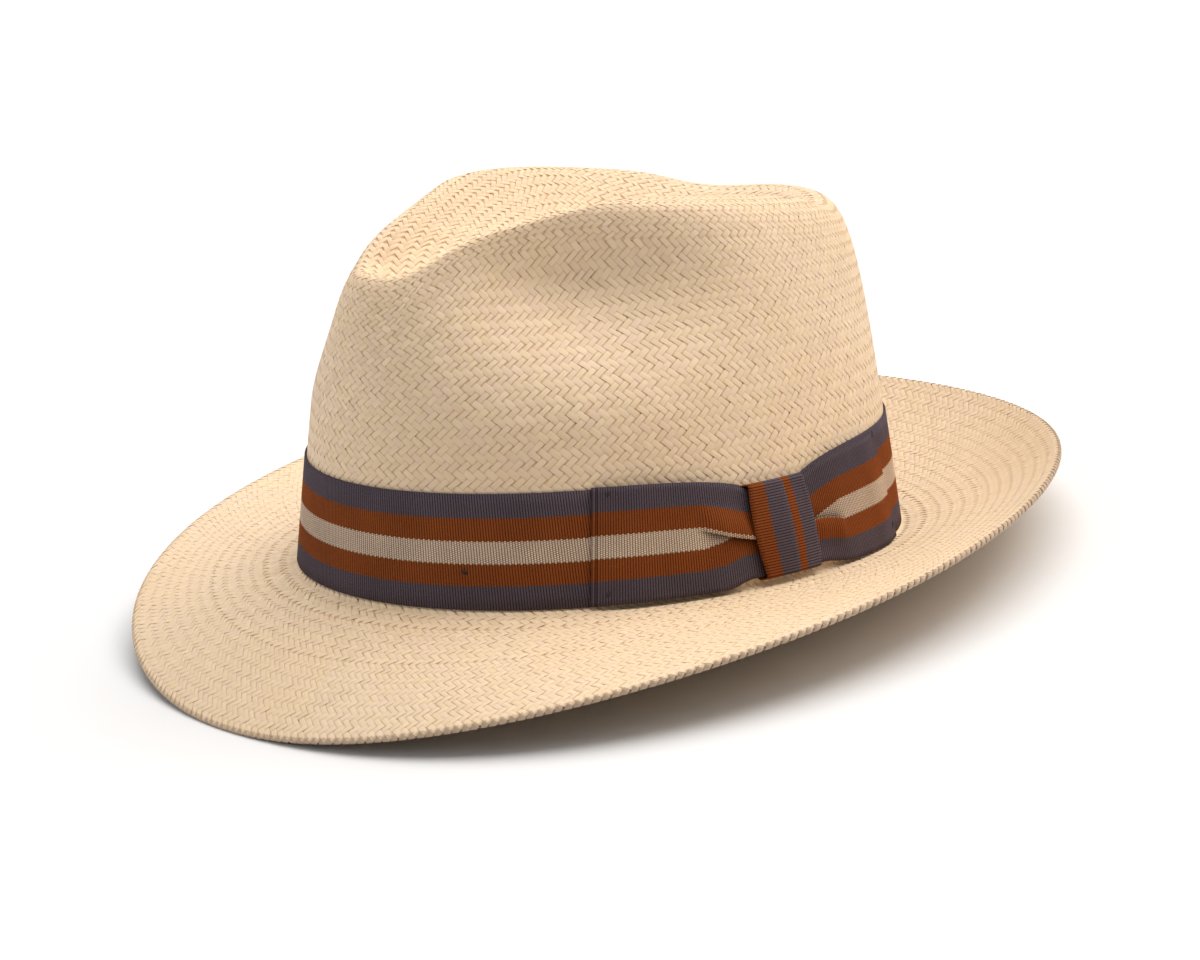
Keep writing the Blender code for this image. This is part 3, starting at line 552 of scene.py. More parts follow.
def add_woven(title, zones, parts, look):
    """Shows the straws of one or more zones, each lean and part as a piece."""
    for lean, slant in ((1, "rising"), (-1, "falling")):
        woven = [weave(lean, *zone) for zone in zones]
        sections = np.concatenate([made[0] for made in woven])
        values = {key: np.concatenate([made[1][key] for made in woven]) for key in woven[0][1]}
        count = len(sections)
        for part in range(parts):
            chosen = slice(count * part // parts, count * (part + 1) // parts)
            name = f"{title}_straws_{slant}" + (f"_{part + 1}" if parts > 1 else "")
            mesh = swept_mesh(name, sections[chosen], {key: value[chosen] for key, value in values.items()})
            add_piece(mesh, look, "straw_body")


def add_top_plait(reach, look):
    """Small square plait that the weave starts from, its straws' ends under the innermost ring."""
    pitch = 2.0 * reach / PLAIT_STRAWS
    lane = (np.arange(PLAIT_STRAWS) - 0.5 * (PLAIT_STRAWS - 1)) * pitch
    run = np.linspace(-1.0, 1.0, 4 * PLAIT_STRAWS + 1)
    stretch = np.sqrt((PLAIT_REACH * reach) ** 2 - np.minimum(np.abs(lane), reach) ** 2)
    random = np.random.default_rng(91)

    def at(across, ahead):
        return sheet_at(np.arctan2(across, ahead), np.hypot(across, ahead))

    for lean, slant in ((1, "across"), (-1, "along")):
        ahead = stretch[:, None] * run
        aside = np.broadcast_to(lane[:, None], ahead.shape)
        plan = (ahead, aside) if lean > 0 else (aside, ahead)
        small = 0.2 * MM
        here = at(*plan)
        first = at(plan[0] + small, plan[1]) - at(plan[0] - small, plan[1])
        second = at(plan[0], plan[1] + small) - at(plan[0], plan[1] - small)
        normal = unit(np.cross(first, second))
        normal = normal * np.sign(normal[..., 2:])
        side = unit(np.cross(normal, unit(np.gradient(here, axis=1))))
        half = 0.5 * STRAW_COVER * pitch * side
        crossing = ahead / pitch + np.arange(PLAIT_STRAWS)[:, None]
        over = np.cos(math.pi * (ahead / pitch - 0.5 + np.arange(PLAIT_STRAWS)[:, None])) * lean
        past = np.hypot(ahead, aside) - reach
        drop = TUCK * smooth_step(past / (0.2 * reach))
        tone = random.normal(0.0, 1.0, PLAIT_STRAWS)[:, None]
        brick = 0.0 * crossing
        sections, values = straw_tubes(here, normal, half, over, drop, crossing, tone, brick, CROWN_RELIEF)
        values["rim"] = np.zeros_like(values["over"])
        name = f"top_plait_straws_{slant}"
        add_piece(swept_mesh(name, sections, values), look, "straw_body")


def add_straws(look):
    """Every zone of the woven straw, from the middle of the top to the hem's lip."""
    wall_end = CROWN_LENGTH - BEHIND_BAND
    edges = (wall_end - ZONE_OVERLAP, *(CROWN_LENGTH + step for step in BRIM_STEPS), SHEET_LENGTH)
    for zone, name in enumerate(("brim_inner", "brim_middle", "brim_outer")):
        straws = (BRIM_STRAWS[zone], edges[zone], edges[zone + 1], BRIM_CLOSENESS, BRIM_RELIEF[zone])
        add_woven(name, [(*straws, 11 + 2 * zone, None, (zone > 0, zone < 2))], 1 + (zone > 1), look)
    lengths = np.linspace(4.0 * MM, CROWN_LENGTH, 400)
    round_hat = perimeter_at(lengths)
    outer = float(np.interp(TOP_START * WALL_STRAWS, round_hat, lengths))
    wall = (WALL_STRAWS, outer, wall_end, CROWN_CLOSENESS, CROWN_RELIEF, 21, None, (True, False), True)
    add_woven("crown", [wall], 2, look)
    ring_width = RING_ROWS * CROWN_CLOSENESS * 0.5 * TOP_PITCH
    rings = round(outer / ring_width) - 1
    ring_width = outer / (rings + 1)
    top = []
    for ring in range(rings):
        inner = outer - ring_width
        count = round(float(np.interp(0.5 * (inner + outer), lengths, round_hat)) / TOP_PITCH)
        straws = (count, inner, outer, CROWN_CLOSENESS, CROWN_RELIEF, 31 + 2 * ring)
        top.append((*straws, RING_ROWS, (True, True)))
        outer = inner
    add_woven("top", top, 2, look)
    add_top_plait(outer, look)


# --- ribbon ---

def cloth_mesh(name, middle, ribs, across, closed, cloth=(CLOTH, RIB_RELIEF), lanes=1, crease=None):
    """Ribbed cloth over a grid of points (columns along the ribbon, rows across it, 3).

    ribs counts the ribs at each column, across is the place in metres of each point across the
    ribbon, cloth is its thickness with the ribs' relief, which stands out on both faces, and
    crease is the painted shade in its creases, 1 where it is darkest.
    """
    thickness, relief = cloth
    if closed:
        along = np.roll(middle, -1, axis=0) - np.roll(middle, 1, axis=0)
    else:
        along = np.gradient(middle, axis=0)
    normal = unit(np.cross(along, np.gradient(middle, axis=1)))
    swell = relief * (np.abs(np.sin(math.pi * ribs)) ** 0.8 - 0.5)
    lift = (0.5 * thickness + swell)[:, None, None]
    faces = np.concatenate([middle + normal * lift, (middle - normal * lift)[:, ::-1]], axis=1)
    place = np.broadcast_to(across, middle.shape[:2])
    place = np.concatenate([place, place[:, ::-1]], axis=1)
    rib = np.broadcast_to(ribs[:, None], place.shape)
    shade = 0.0 * place if crease is None else np.concatenate([crease, crease[:, ::-1]], axis=1)
    values = {"cloth": np.stack([rib, place / MM, shade], axis=-1)[None]}
    return swept_mesh(name, faces[None], values, closed, lanes)


def rib_columns(length, rib=RIB):
    """Columns for a ribbon of the given length: (share of the length, rib number)."""
    count = round(length / rib)
    share = np.linspace(0.0, 1.0, COLUMNS_PER_RIB * count + 1)
    return share, share * count


def columns_round(start, stop, height, rib=RIB):
    """Even columns for a ribbon that lies round the hat: (angle, rib number)."""
    turns = np.linspace(start, stop, LINE_POINTS)
    walked = walked_along(wall_at(turns, height))
    share, ribs = rib_columns(walked[-1], rib)
    return np.interp(share * walked[-1], walked, turns), ribs


def gather(along):
    """1 where the knot gathers the ribbon, fading to 0 on both sides."""
    past_knot = np.abs(along - KNOT_SHIFT) - KNOT_HALF_WIDTH - KNOT_MARGIN
    return 1.0 - smooth_step(past_knot / np.where(along < KNOT_SHIFT, GATHER_FADE_FRONT, GATHER_FADE_REAR))


def ribbon_foot(along):
    """Height of the ribbon's lower edge over the crown's base."""
    return RIBBON_FOOT + GATHER_FOOT * gather(along)


def ribbon_top(along, draw):
    """Height of the ribbon's upper edge, which the knot draws down."""
    past_knot = np.abs(along - KNOT_SHIFT) - KNOT_HALF_WIDTH
    return RIBBON_FOOT + RIBBON_WIDTH - draw * np.exp(-np.maximum(past_knot, 0.0) / DRAW_LENGTH)


def add_hat_band(look):
    """Striped ribbon round the crown, its ends meeting under the bow."""
    joint = BAND_JOINT_GAP / MM_PER_RADIAN
    angle, ribs = columns_round(BOW_ANGLE + joint, BOW_ANGLE + FULL_TURN - joint, 0.5 * RIBBON_WIDTH)
    place = (np.mod(angle - BOW_ANGLE + math.pi, FULL_TURN) - math.pi) * MM_PER_RADIAN
    rows = np.linspace(0.0, 1.0, 10)[None, :]
    low, high = ribbon_foot(place)[:, None], ribbon_top(place, DRAW_BAND)[:, None]
    height = low + (high - low) * rows
    distance = SNUG + 0.5 * CLOTH + LAYER * gather(place)[:, None]
    middle = off_straw(angle[:, None], height, distance)
    mesh = cloth_mesh("ribbon_band_cloth", middle, ribs, rows * RIBBON_WIDTH, False, lanes=4)
    add_piece(mesh, look, "ribbon_band")


PLEAT_REAR = 13.9 * MM  # edge of the rear pleat, across the ribbon from its foot
PLEAT_FRONT = 15.2 * MM  # edge of the front pleat, from the ribbon's top
PLEAT_REAR_CLOTH = 3.1 * MM  # cloth that each pleat turns back at the knot
PLEAT_FRONT_CLOTH = 4.1 * MM
PLEAT_REAR_LENGTH = 18.0 * MM  # how far each pleat reaches from the knot
PLEAT_FRONT_LENGTH = 22.0 * MM
PLEAT_LEAST = 0.35 * MM
PLEAT_TURN = 1.1 * MM  # amount of turned-back cloth at which a pleat lies flat
PLEAT_LAYERS = 1.1 * MM  # how far the folded-over cloth stands in front
PLEAT_BULGE = 0.7 * MM
PLEAT_SETTLE = 9.0 * MM
PLEAT_SHADE = 2.0 * MM  # reach of the painted shade beside a pleat's edge
PLEAT_PRESSED = 4.0 * MM  # how far from the knot it still presses the pleats flat
PRESS_INSET = 1.3 * MM  # pressed line beside the bow's front fold, a shallow dent with painted shade along it
PRESS_WIDTH = 0.35 * MM
PRESS_DEPTH = 0.18 * MM


def pleated_rows(edge, excess, room, pressed):
    """Cross-sections of pleated cloth: (across, height over the foot, distance out, painted crease shade).

    excess is how much cloth the pleat turns back and room the height left for the ribbon. The
    cloth from the foot to the pleat's edge lies in front.
    """
    flat = smooth_step(excess / PLEAT_TURN)
    turned = math.pi * flat
    stretch = np.maximum(excess, PLEAT_LEAST)
    lower = np.linspace(0.0, 1.0, 16)[None, :] ** 0.8
    middle = np.linspace(0.0, 1.0, 9)[None, 1:]
    upper = np.linspace(0.0, 1.0, 17)[None, 1:] ** 1.25
    scale = (room - stretch * np.cos(turned)) / (RIBBON_WIDTH - stretch)
    high = edge + stretch
    depth = PLEAT_LAYERS * flat + 0.3 * stretch * np.sin(turned)
    bulge = PLEAT_BULGE * flat * (1.0 - pressed)
    across = [edge * lower + 0.0 * excess, edge + stretch * middle, high + (RIBBON_WIDTH - high) * upper]
    up = [edge * lower * scale, edge * scale + stretch * middle * np.cos(turned),
          edge * scale + stretch * np.cos(turned) + (RIBBON_WIDTH - high) * upper * scale]
    from_edge = np.clip(edge * (1.0 - lower) / PLEAT_SETTLE, 0.0, 1.0)
    settle, hump = smooth_step(from_edge), np.sin(math.pi * from_edge)
    s_curve = 0.5 - 0.5 * np.sign(2.0 * middle - 1.0) * np.abs(2.0 * middle - 1.0) ** 3
    out = [depth * (1.0 - settle) + bulge * hump, depth * s_curve, 0.0 * upper * excess]
    beyond = np.maximum(up[2] - edge * scale, 0.0)
    # painted shade on the cloth turned back inside the pleat and beside the pleat's edge
    crease = [0.0 * up[0], flat * middle ** 0.5, flat * np.exp(-beyond / PLEAT_SHADE)]
    return tuple(np.concatenate(rows, 1) for rows in (across, up, out, crease))


def bow_sections(place, shown):
    """Rows of the whole bow at each column: (across, height over the band's foot, out, painted crease
    shade).
    """
    room = (ribbon_top(place, DRAW_BOW) - ribbon_foot(place))[:, None]
    past_knot = (np.abs(place - KNOT_SHIFT) - KNOT_HALF_WIDTH)[:, None]
    pressed = 1.0 - smooth_step(past_knot / PLEAT_PRESSED)
    front_cloth = PLEAT_FRONT_CLOTH * shown * (1.0 - smooth_step(past_knot / PLEAT_FRONT_LENGTH))
    rear_cloth = PLEAT_REAR_CLOTH * shown * (1.0 - smooth_step(past_knot / PLEAT_REAR_LENGTH))
    across, up, out, crease = pleated_rows(PLEAT_FRONT, front_cloth, room, pressed)
    front = (RIBBON_WIDTH - across, room - up, out, crease)
    rear = pleated_rows(PLEAT_REAR, rear_cloth, room, pressed)
    ahead = (place < KNOT_SHIFT)[:, None]
    return tuple(np.where(ahead, one[:, ::-1], other) for one, other in zip(front, rear))


def add_bow(look):
    """Flat bow: a ribbon folded into a loop, pleated where the knot gathers it."""
    share, ribs = rib_columns(2.0 * BOW_HALF_LENGTH)
    straight = BOW_SHIFT + (2.0 * share - 1.0) * BOW_HALF_LENGTH
    turn = np.array([0.25, 0.5, 0.75]) * math.pi
    gathered = gather(straight)
    inner_part = smooth_step(BOW_SWELL_RISE * (1.0 - (2.0 * share - 1.0) ** 2))
    inner = SNUG + 0.5 * CLOTH + LAYER * (1.0 + gathered)
    outer = inner + LAYER + BOW_SWELL * inner_part * (1.0 - gathered)
    radius = 0.5 * LAYER
    fold_out = inner[0] + radius
    ahead = BOW_HALF_LENGTH + radius * np.sin(turn)
    rise = radius * np.cos(turn)
    place = np.concatenate([straight, BOW_SHIFT + ahead, straight[::-1], BOW_SHIFT - ahead])
    distance = np.concatenate([outer, fold_out + rise, inner[::-1], fold_out - rise])
    shown = np.concatenate([np.ones_like(straight), 0.0 * turn, 0.0 * straight, 0.0 * turn])
    count = ribs[-1]
    past = count + np.array([0.1, 0.3, 0.5])
    number = np.concatenate([ribs, past, 0.6 + count + ribs, 0.6 + count + past])

    shown = shown[:, None]
    across, up, out, crease = bow_sections(place, shown)
    level = up / RIBBON_WIDTH
    slope = BOW_DROP + BOW_SLOPE * place[:, None] / BOW_HALF_LENGTH
    height = ribbon_foot(place)[:, None] + up + slope * (0.35 + 0.65 * level)
    angle = BOW_ANGLE + flared(place[:, None], level) / MM_PER_RADIAN
    from_press = place[:, None] - BOW_SHIFT + BOW_HALF_LENGTH - PRESS_INSET
    press = shown * np.exp(-(from_press / PRESS_WIDTH) ** 2)
    middle = off_straw(angle, height, distance[:, None] + out - PRESS_DEPTH * press)
    # painted shade along the pressed line, on the bow's shown face only
    crease = np.maximum(crease * shown, 0.7 * press)
    mesh = cloth_mesh("bow_ribbon_cloth", middle, number, across, True, crease=crease)
    add_piece(mesh, look, "bow_ribbon")


def flared(place, level):
    """Place along the band of a point of the bow, at a share of the ribbon's width from its foot."""
    return place * (1.0 + BOW_FLARE * (0.5 - level))


KNOT_STEP = 0.585  # place across the knot where its upper fold ends
KNOT_STACK = 6.2 * LAYER  # depth of the layers that the knot wraps
KNOT_PILLOW = 0.7 * MM  # how far the knot's front swells
KNOT_ROUNDING = 0.55  # how far its turns reach past the ribbon's edges, against their radius
KNOT_NARROWING = 0.09  # share by which its front is narrower at the top and the foot
KNOT_CLOTH = 20.0 * MM  # width of ribbon that shows across the knot


def add_knot(look):
    """Ribbon folded lengthwise and wrapped round the middle of the bow and the band."""
    near = SNUG + 0.5 * CLOTH
    far = near + KNOT_STACK
    corner = 0.5 * (far - near)
    high = ribbon_top(KNOT_SHIFT, DRAW_BOW) - KNOT_INSET
    low = ribbon_foot(KNOT_SHIFT) + KNOT_INSET
    turn = np.linspace(0.0, math.pi, 25)
    front = np.linspace(0.0, 1.0, 41)[1:-1]
    past, across = KNOT_ROUNDING * corner * np.sin(turn), corner * (1.0 - np.cos(turn))
    drop = (high - low) * front
    loop_height = np.concatenate([high + past, high - drop, low - past, low + drop])
    loop_out = np.concatenate([near + across, far + 0.0 * front, far - across, near + 0.0 * front])
    loop = np.stack([np.append(loop_height, loop_height[0]), np.append(loop_out, loop_out[0])], axis=-1)
    walked = walked_along(loop)
    share, ribs = rib_columns(walked[-1])
    share, ribs = share[:-1], ribs[:-1]
    height, out = (np.interp(share * walked[-1], walked, line) for line in loop.T)

    before = np.linspace(0.0, KNOT_STEP, 9)
    across = np.concatenate([before, [KNOT_STEP + 0.004], np.linspace(KNOT_STEP + 0.02, 1.0, 8)])[None, :]
    over = np.where(across <= KNOT_STEP, 1.0, 0.0)
    in_front = smooth_step((out - near) / (far - near))[:, None]
    level = 2.0 * (height - low)[:, None] / (high - low) - 1.0
    width = KNOT_HALF_WIDTH * (1.0 - KNOT_NARROWING * level ** 2 * in_front)
    pillow = KNOT_PILLOW * (1.0 - (2.0 * across - 1.0) ** 2) * (1.0 - level ** 2).clip(0.0, 1.0)
    distance = out[:, None] + in_front * (CLOTH * over + pillow - 0.5 * CLOTH)
    place = KNOT_SHIFT - KNOT_LEAN * level + width * (2.0 * across - 1.0)
    middle = off_straw(BOW_ANGLE + place / MM_PER_RADIAN, height[:, None], distance)
    mesh = cloth_mesh("bow_knot_cloth", middle, ribs, across * KNOT_CLOTH, True)
    add_piece(mesh, look, "bow_knot")


# --- sewing and the pieces inside ---

GAP = 0.35 * MM  # clearance between neighbouring pieces
NEARLY_UP = np.array([0.02, 0.03, 1.0])
THREAD_RADIUS = 0.25 * MM
THREAD_TIP = 0.55  # share of a thread's radius at its ends
PLY_FURROW = 0.80  # share of its radius between two plies
STITCH = 2.4 * MM  # length of a sewing stitch, and from one stitch to the next
STITCH_PITCH = 3.5 * MM
STITCH_DIP = 1.7  # how far a stitch's ends go into the cloth, in thread radii
HEM_STITCH_INSET = 1.0 * MM
EDGE_WIRE_RADIUS = 0.35 * MM
TACK_HALF_LENGTH = 1.3 * MM
TACK_RADIUS = 0.32 * MM
TACK_INSET_FRONT = 5.2 * MM
TACK_INSET_REAR = 3.0 * MM
TACK_LOW = 3.5 * MM
TACK_HIGH = 33.2 * MM
TACK_SPREAD = 0.28 * MM  # between a tack's middle and each of its two strands
BAND_TACK_ANGLE = math.radians(29.4)
BAND_TACK_HEIGHT = 11.5 * MM
SWEATBAND_HEIGHT = 34.0 * MM
SWEATBAND = 0.7 * MM
SWEATBAND_RIB = 1.3 * MM
SWEATBAND_FOOT = 1.4 * MM
SWEATBAND_JOINT_GAP = 1.0 * MM
SWEATBAND_SEAM_RISE = 2.0 * MM
SWEATBAND_SEAM_WIDTH = 0.8 * MM
SWEATBAND_RELIEF = 0.10 * MM  # of its ribs, and of the seam's furrow
REED_RADIUS = 1.0 * MM
REED_WRAP = 2.6 * MM  # from one edge of the reed's wrapping to the next
LITTLE_BOW_HALF_WIDTH = 12.0 * MM
LITTLE_BOW_HALF_HEIGHT = 4.5 * MM
LITTLE_KNOT_HALF_WIDTH = 1.7 * MM
LITTLE_BOW_CLOTH = (0.3 * MM, 0.05 * MM)  # thickness and relief of its ribbon
FLAP_ANGLE = math.radians(152.0)
FLAP_WIDTH = 20.0 * MM
FLAP_DROP = 15.0 * MM
FLAP = 0.5 * MM
FLAP_HINGE_DROP = 3.0 * MM
FLAP_STAND = 0.9 * MM  # from the wall to the flap, over the gaps and the wall's curve
FLAP_HEM = 1.6 * MM  # width of the flap's turned-in edges
BACK_RADIUS = OPENING_HALF_WIDTH ** 2 / OPENING_HALF_LENGTH


def thread_mesh(name, paths, radius, closed=False, corners=7, twist=1.1 * MM, lanes=1):
    """Twisted threads along paths (threads, steps, 3), in the hat's frame; two plies show."""
    if closed:
        tangent = unit(np.roll(paths, -1, axis=1) - np.roll(paths, 1, axis=1))
    else:
        tangent = unit(np.gradient(paths, axis=1))
    side = unit(np.cross(tangent, NEARLY_UP))
    rise = np.cross(side, tangent)
    walked = walked_along(paths)
    ends = np.minimum(walked, walked[:, -1:] - walked) / (2.0 * radius)
    taper = 1.0 if closed else THREAD_TIP + (1.0 - THREAD_TIP) * smooth_step(ends)
    total = walked[0, -1]
    phase = FULL_TURN * (walked * round(total / twist) / total if closed else 0.5 * walked / twist)
    sections, places = [], []
    for corner in range(corners):
        turn = FULL_TURN * corner / corners
        ply = np.abs(np.cos(turn - phase))
        reach = (radius * taper * (PLY_FURROW + (1.0 - PLY_FURROW) * ply))[..., None]
        sections.append(paths + reach * (math.cos(turn) * side + math.sin(turn) * rise))
        places.append(np.stack([walked / MM, ply, 0.0 * walked], -1))
    values = {"cloth": np.stack(places, axis=2)}
    return swept_mesh(name, np.stack(sections, axis=2), values, closed, lanes)


def stitches(place, round_hat):
    """Paths of even stitches; place(turn, level) is a point at an angle and thread radii off the cloth."""
    count = round(round_hat / STITCH_PITCH)
    along = np.linspace(-0.5, 0.5, 9)
    turn = FULL_TURN / count * (np.arange(count)[:, None] + STITCH / STITCH_PITCH * along)
    level = 1.0 - STITCH_DIP * (2.0 * np.abs(along)) ** 4
    return place(turn, np.broadcast_to(level, turn.shape))


def add_tack(name, angle, height, distance, lean, look):
    """Small stitch of dark thread that pulls into the ribbon at both ends."""
    along = np.linspace(-1.0, 1.0, 13)
    place = TACK_HALF_LENGTH * along
    paths = []
    for strand in (-1.0, 1.0):
        rise = lean * place + strand * TACK_SPREAD + 0.12 * MM * np.sin(2.5 * along + strand)
        lift = distance + TACK_RADIUS * (0.9 - 2.2 * np.abs(along) ** 3 + 0.25 * strand)
        paths.append(off_straw(angle + place / MM_PER_RADIAN, height + rise, lift))
    add_piece(thread_mesh(f"{name}_thread", np.stack(paths), 0.8 * TACK_RADIUS), look, name)


def add_tacks(look):
    """The stitches that hold the bow's ends and the band."""
    on_bow = SNUG + CLOTH + 2.0 * LAYER + 0.15 * MM
    front = BOW_SHIFT - BOW_HALF_LENGTH + TACK_INSET_FRONT
    rear = BOW_SHIFT + BOW_HALF_LENGTH - TACK_INSET_REAR
    for end, place in (("front", front), ("rear", rear)):
        for level, height in (("low", TACK_LOW), ("high", TACK_HIGH)):
            angle = BOW_ANGLE + flared(place, height / RIBBON_WIDTH) / MM_PER_RADIAN
            add_tack(f"tack_bow_{end}_{level}", angle, RIBBON_FOOT + height, on_bow, 0.5, look)
    add_tack("tack_band", BAND_TACK_ANGLE, RIBBON_FOOT + BAND_TACK_HEIGHT, SNUG + CLOTH, -0.35, look)


def add_edge_wire(look):
    """Wire inside the folded edge."""
    angle = np.arange(360) * FULL_TURN / 360
    edge, upward, _ = brim_frame(angle, BRIM_WIDTH)
    path = (edge - upward * FOLD_RADIUS)[None]
    mesh = thread_mesh("edge_wire_ring", path, EDGE_WIRE_RADIUS, True, 8, 4.0 * MM, 4)
    add_piece(mesh, look, "brim_edge_wire")


def add_hem_stitches(look):
    """Slanting stitches that catch the hem's lip to the underside of the brim."""
    past = BRIM_WIDTH - HEM_WIDTH - HEM_STITCH_INSET
    round_hat = perimeter_at(CROWN_LENGTH + past)[0]

    def place(turn, level):
        slant = (turn * round_hat / FULL_TURN / STITCH_PITCH) % 1.0
        here, upward, _ = brim_frame(turn, past + 0.9 * MM * (slant - 0.5))
        return here - upward * (0.5 * SHEET + 0.1 * MM + THREAD_RADIUS * level)[..., None]

    mesh = thread_mesh("hem_stitches", stitches(place, round_hat), THREAD_RADIUS)
    add_piece(mesh, look, "hem_stitching")


def add_sweatband(look):
    """Fine ribbed band against the wearer's head, its ends meeting at the back."""
    joint = 0.5 * SWEATBAND_JOINT_GAP / OPENING_HALF_WIDTH
    angle, ribs = columns_round(joint - math.pi, math.pi - joint, 0.5 * SWEATBAND_HEIGHT, SWEATBAND_RIB)
    rows = np.linspace(0.0, 1.0, 12)[None, :]
    low = SWEATBAND_FOOT + 2.0 * REED_RADIUS
    height = low + (SWEATBAND_FOOT + SWEATBAND_HEIGHT - low) * rows
    seam = np.exp(-((height - low - SWEATBAND_SEAM_RISE) / SWEATBAND_SEAM_WIDTH) ** 2)
    distance = GAP + 0.5 * SWEATBAND + SWEATBAND_RELIEF - SWEATBAND_RELIEF * seam
    middle = inside_wall(angle[:, None], height, distance)
    across = rows * (SWEATBAND_HEIGHT - 2.0 * REED_RADIUS)
    mesh = cloth_mesh("sweatband_ribbon", middle, ribs, across, False, (SWEATBAND, SWEATBAND_RELIEF), 4)
    add_piece(mesh, look, "sweatband")


def add_reed(look):
    """Round cord in a wrapping of bias tape, along the sweatband's lower edge."""
    steps, corners = 1440, 12
    angle = np.arange(steps) * FULL_TURN / steps
    height = SWEATBAND_FOOT + REED_RADIUS - GAP
    path = inside_wall(angle, height, GAP + REED_RADIUS)
    outward = wall_frame(angle, height)[1]
    tangent = unit(np.roll(path, -1, axis=0) - np.roll(path, 1, axis=0))
    rise = np.cross(tangent, outward)
    walked = np.arange(steps) / steps * walked_along(np.append(path, path[:1], axis=0))[-1]
    wraps = round(walked[-1] / REED_WRAP) / walked[-1]
    sections, places = [], []
    for corner in range(corners):
        turn = FULL_TURN * corner / corners
        wrap = np.mod(walked * wraps + corner / corners, 1.0)
        reach = REED_RADIUS * (0.90 + 0.08 * smooth_step(wrap / 0.15) * (1.0 - 0.5 * wrap))
        sections.append(path + reach[:, None] * (math.cos(turn) * outward + math.sin(turn) * rise))
        places.append(np.stack([walked * wraps + corner / corners, walked / MM, 0.0 * walked], -1))
    values = {"cloth": np.stack(places, axis=1)[None]}
    mesh = swept_mesh("reed_cord", np.stack(sections, axis=1)[None], values, True, 4)
    add_piece(mesh, look, "sweatband_reed")


def add_sweatband_stitches(look):
    """Running stitches along the sweatband's lower seam."""
    height = SWEATBAND_FOOT + 2.0 * REED_RADIUS + SWEATBAND_SEAM_RISE
    surface = GAP + SWEATBAND + 0.05 * MM

    def place(turn, level):
        return inside_wall(turn, height, surface + THREAD_RADIUS * level)

    paths = stitches(place, perimeter_at(CROWN_LENGTH)[0])
    mesh = thread_mesh("sweatband_stitches", paths, THREAD_RADIUS)
    add_piece(mesh, look, "sweatband_stitching")


def add_little_bow(look):
    """Flat little bow over the sweatband's joint, with a narrow knot."""
    half_width, half_height = LITTLE_BOW_HALF_WIDTH, LITTLE_BOW_HALF_HEIGHT
    middle_height = SWEATBAND_FOOT + 0.5 * SWEATBAND_HEIGHT
    near = GAP + SWEATBAND + 0.35 * MM
    share, ribs = rib_columns(2.0 * half_width, 1.0 * MM)
    across = (2.0 * share - 1.0) * half_width
    waist = 0.45 + 0.55 * smooth_step(np.abs(across) / (0.6 * half_width))
    puff = 0.9 * MM * np.clip(1.0 - (across / half_width) ** 2, 0.0, 1.0) ** 0.6 * waist
    end = half_width + np.array([0.14, 0.2, 0.14]) * MM
    place = np.concatenate([across, end, across[::-1], -end])
    out = np.concatenate([near + 0.45 * MM + puff, near + np.array([0.34, 0.22, 0.1]) * MM,
                          near + 0.0 * across, near + np.array([0.1, 0.22, 0.34]) * MM])
    tall = np.concatenate([waist, np.ones(3), waist[::-1], np.ones(3)])
    number = np.concatenate([ribs, ribs[-1] + np.array([0.1, 0.3, 0.5]), ribs[-1] + 0.6 + ribs,
                             2.0 * ribs[-1] + 0.6 + np.array([0.1, 0.3, 0.5])])
    rows = np.linspace(-1.0, 1.0, 9)[None, :]
    crease = 0.25 * MM * np.cos(2.0 * math.pi * rows) * (1.0 - tall[:, None])
    height = middle_height + half_height * tall[:, None] * rows
    middle = inside_wall(math.pi + place[:, None] / OPENING_HALF_WIDTH, height, out[:, None] + crease)
    across = (rows + 1.0) * half_height
    mesh = cloth_mesh("little_bow_loops", middle, number, across, True, LITTLE_BOW_CLOTH)
    add_piece(mesh, look, "sweatband_bow")

    turn = np.arange(48) * FULL_TURN / 48
    centre = near + 0.75 * MM
    lift = centre + 0.85 * MM * np.sign(np.sin(turn)) * np.abs(np.sin(turn)) ** 0.5
    height = middle_height + 0.56 * half_height * np.sign(np.cos(turn)) * np.abs(np.cos(turn)) ** 0.7
    rows = np.linspace(-1.0, 1.0, 7)[None, :]
    across = rows * LITTLE_KNOT_HALF_WIDTH
    angle = math.pi + across / OPENING_HALF_WIDTH
    across = across + LITTLE_KNOT_HALF_WIDTH
    middle = inside_wall(angle, height[:, None], lift[:, None] - 0.12 * MM * rows ** 2)
    ribs = np.arange(48) / COLUMNS_PER_RIB
    mesh = cloth_mesh("little_bow_knot", middle, ribs, across, True, LITTLE_BOW_CLOTH)
    add_piece(mesh, look, "sweatband_bow")


def flap_frame():
    """Hinge point of the size flap with its directions: along the seam, down the flap, off the band."""
    height = SWEATBAND_FOOT + SWEATBAND_HEIGHT - FLAP_HINGE_DROP
    here, outward = wall_frame(FLAP_ANGLE, height)
    upward = unit(wall_at(FLAP_ANGLE, height + 0.5 * MM) - wall_at(FLAP_ANGLE, height - 0.5 * MM))
    along = np.cross(upward, outward)
    bulge = FLAP_WIDTH ** 2 / (8.0 * BACK_RADIUS)
    stand = 0.5 * SHEET + 3.0 * GAP + FLAP_STAND + bulge
    return here - outward * stand, along, -upward, -outward


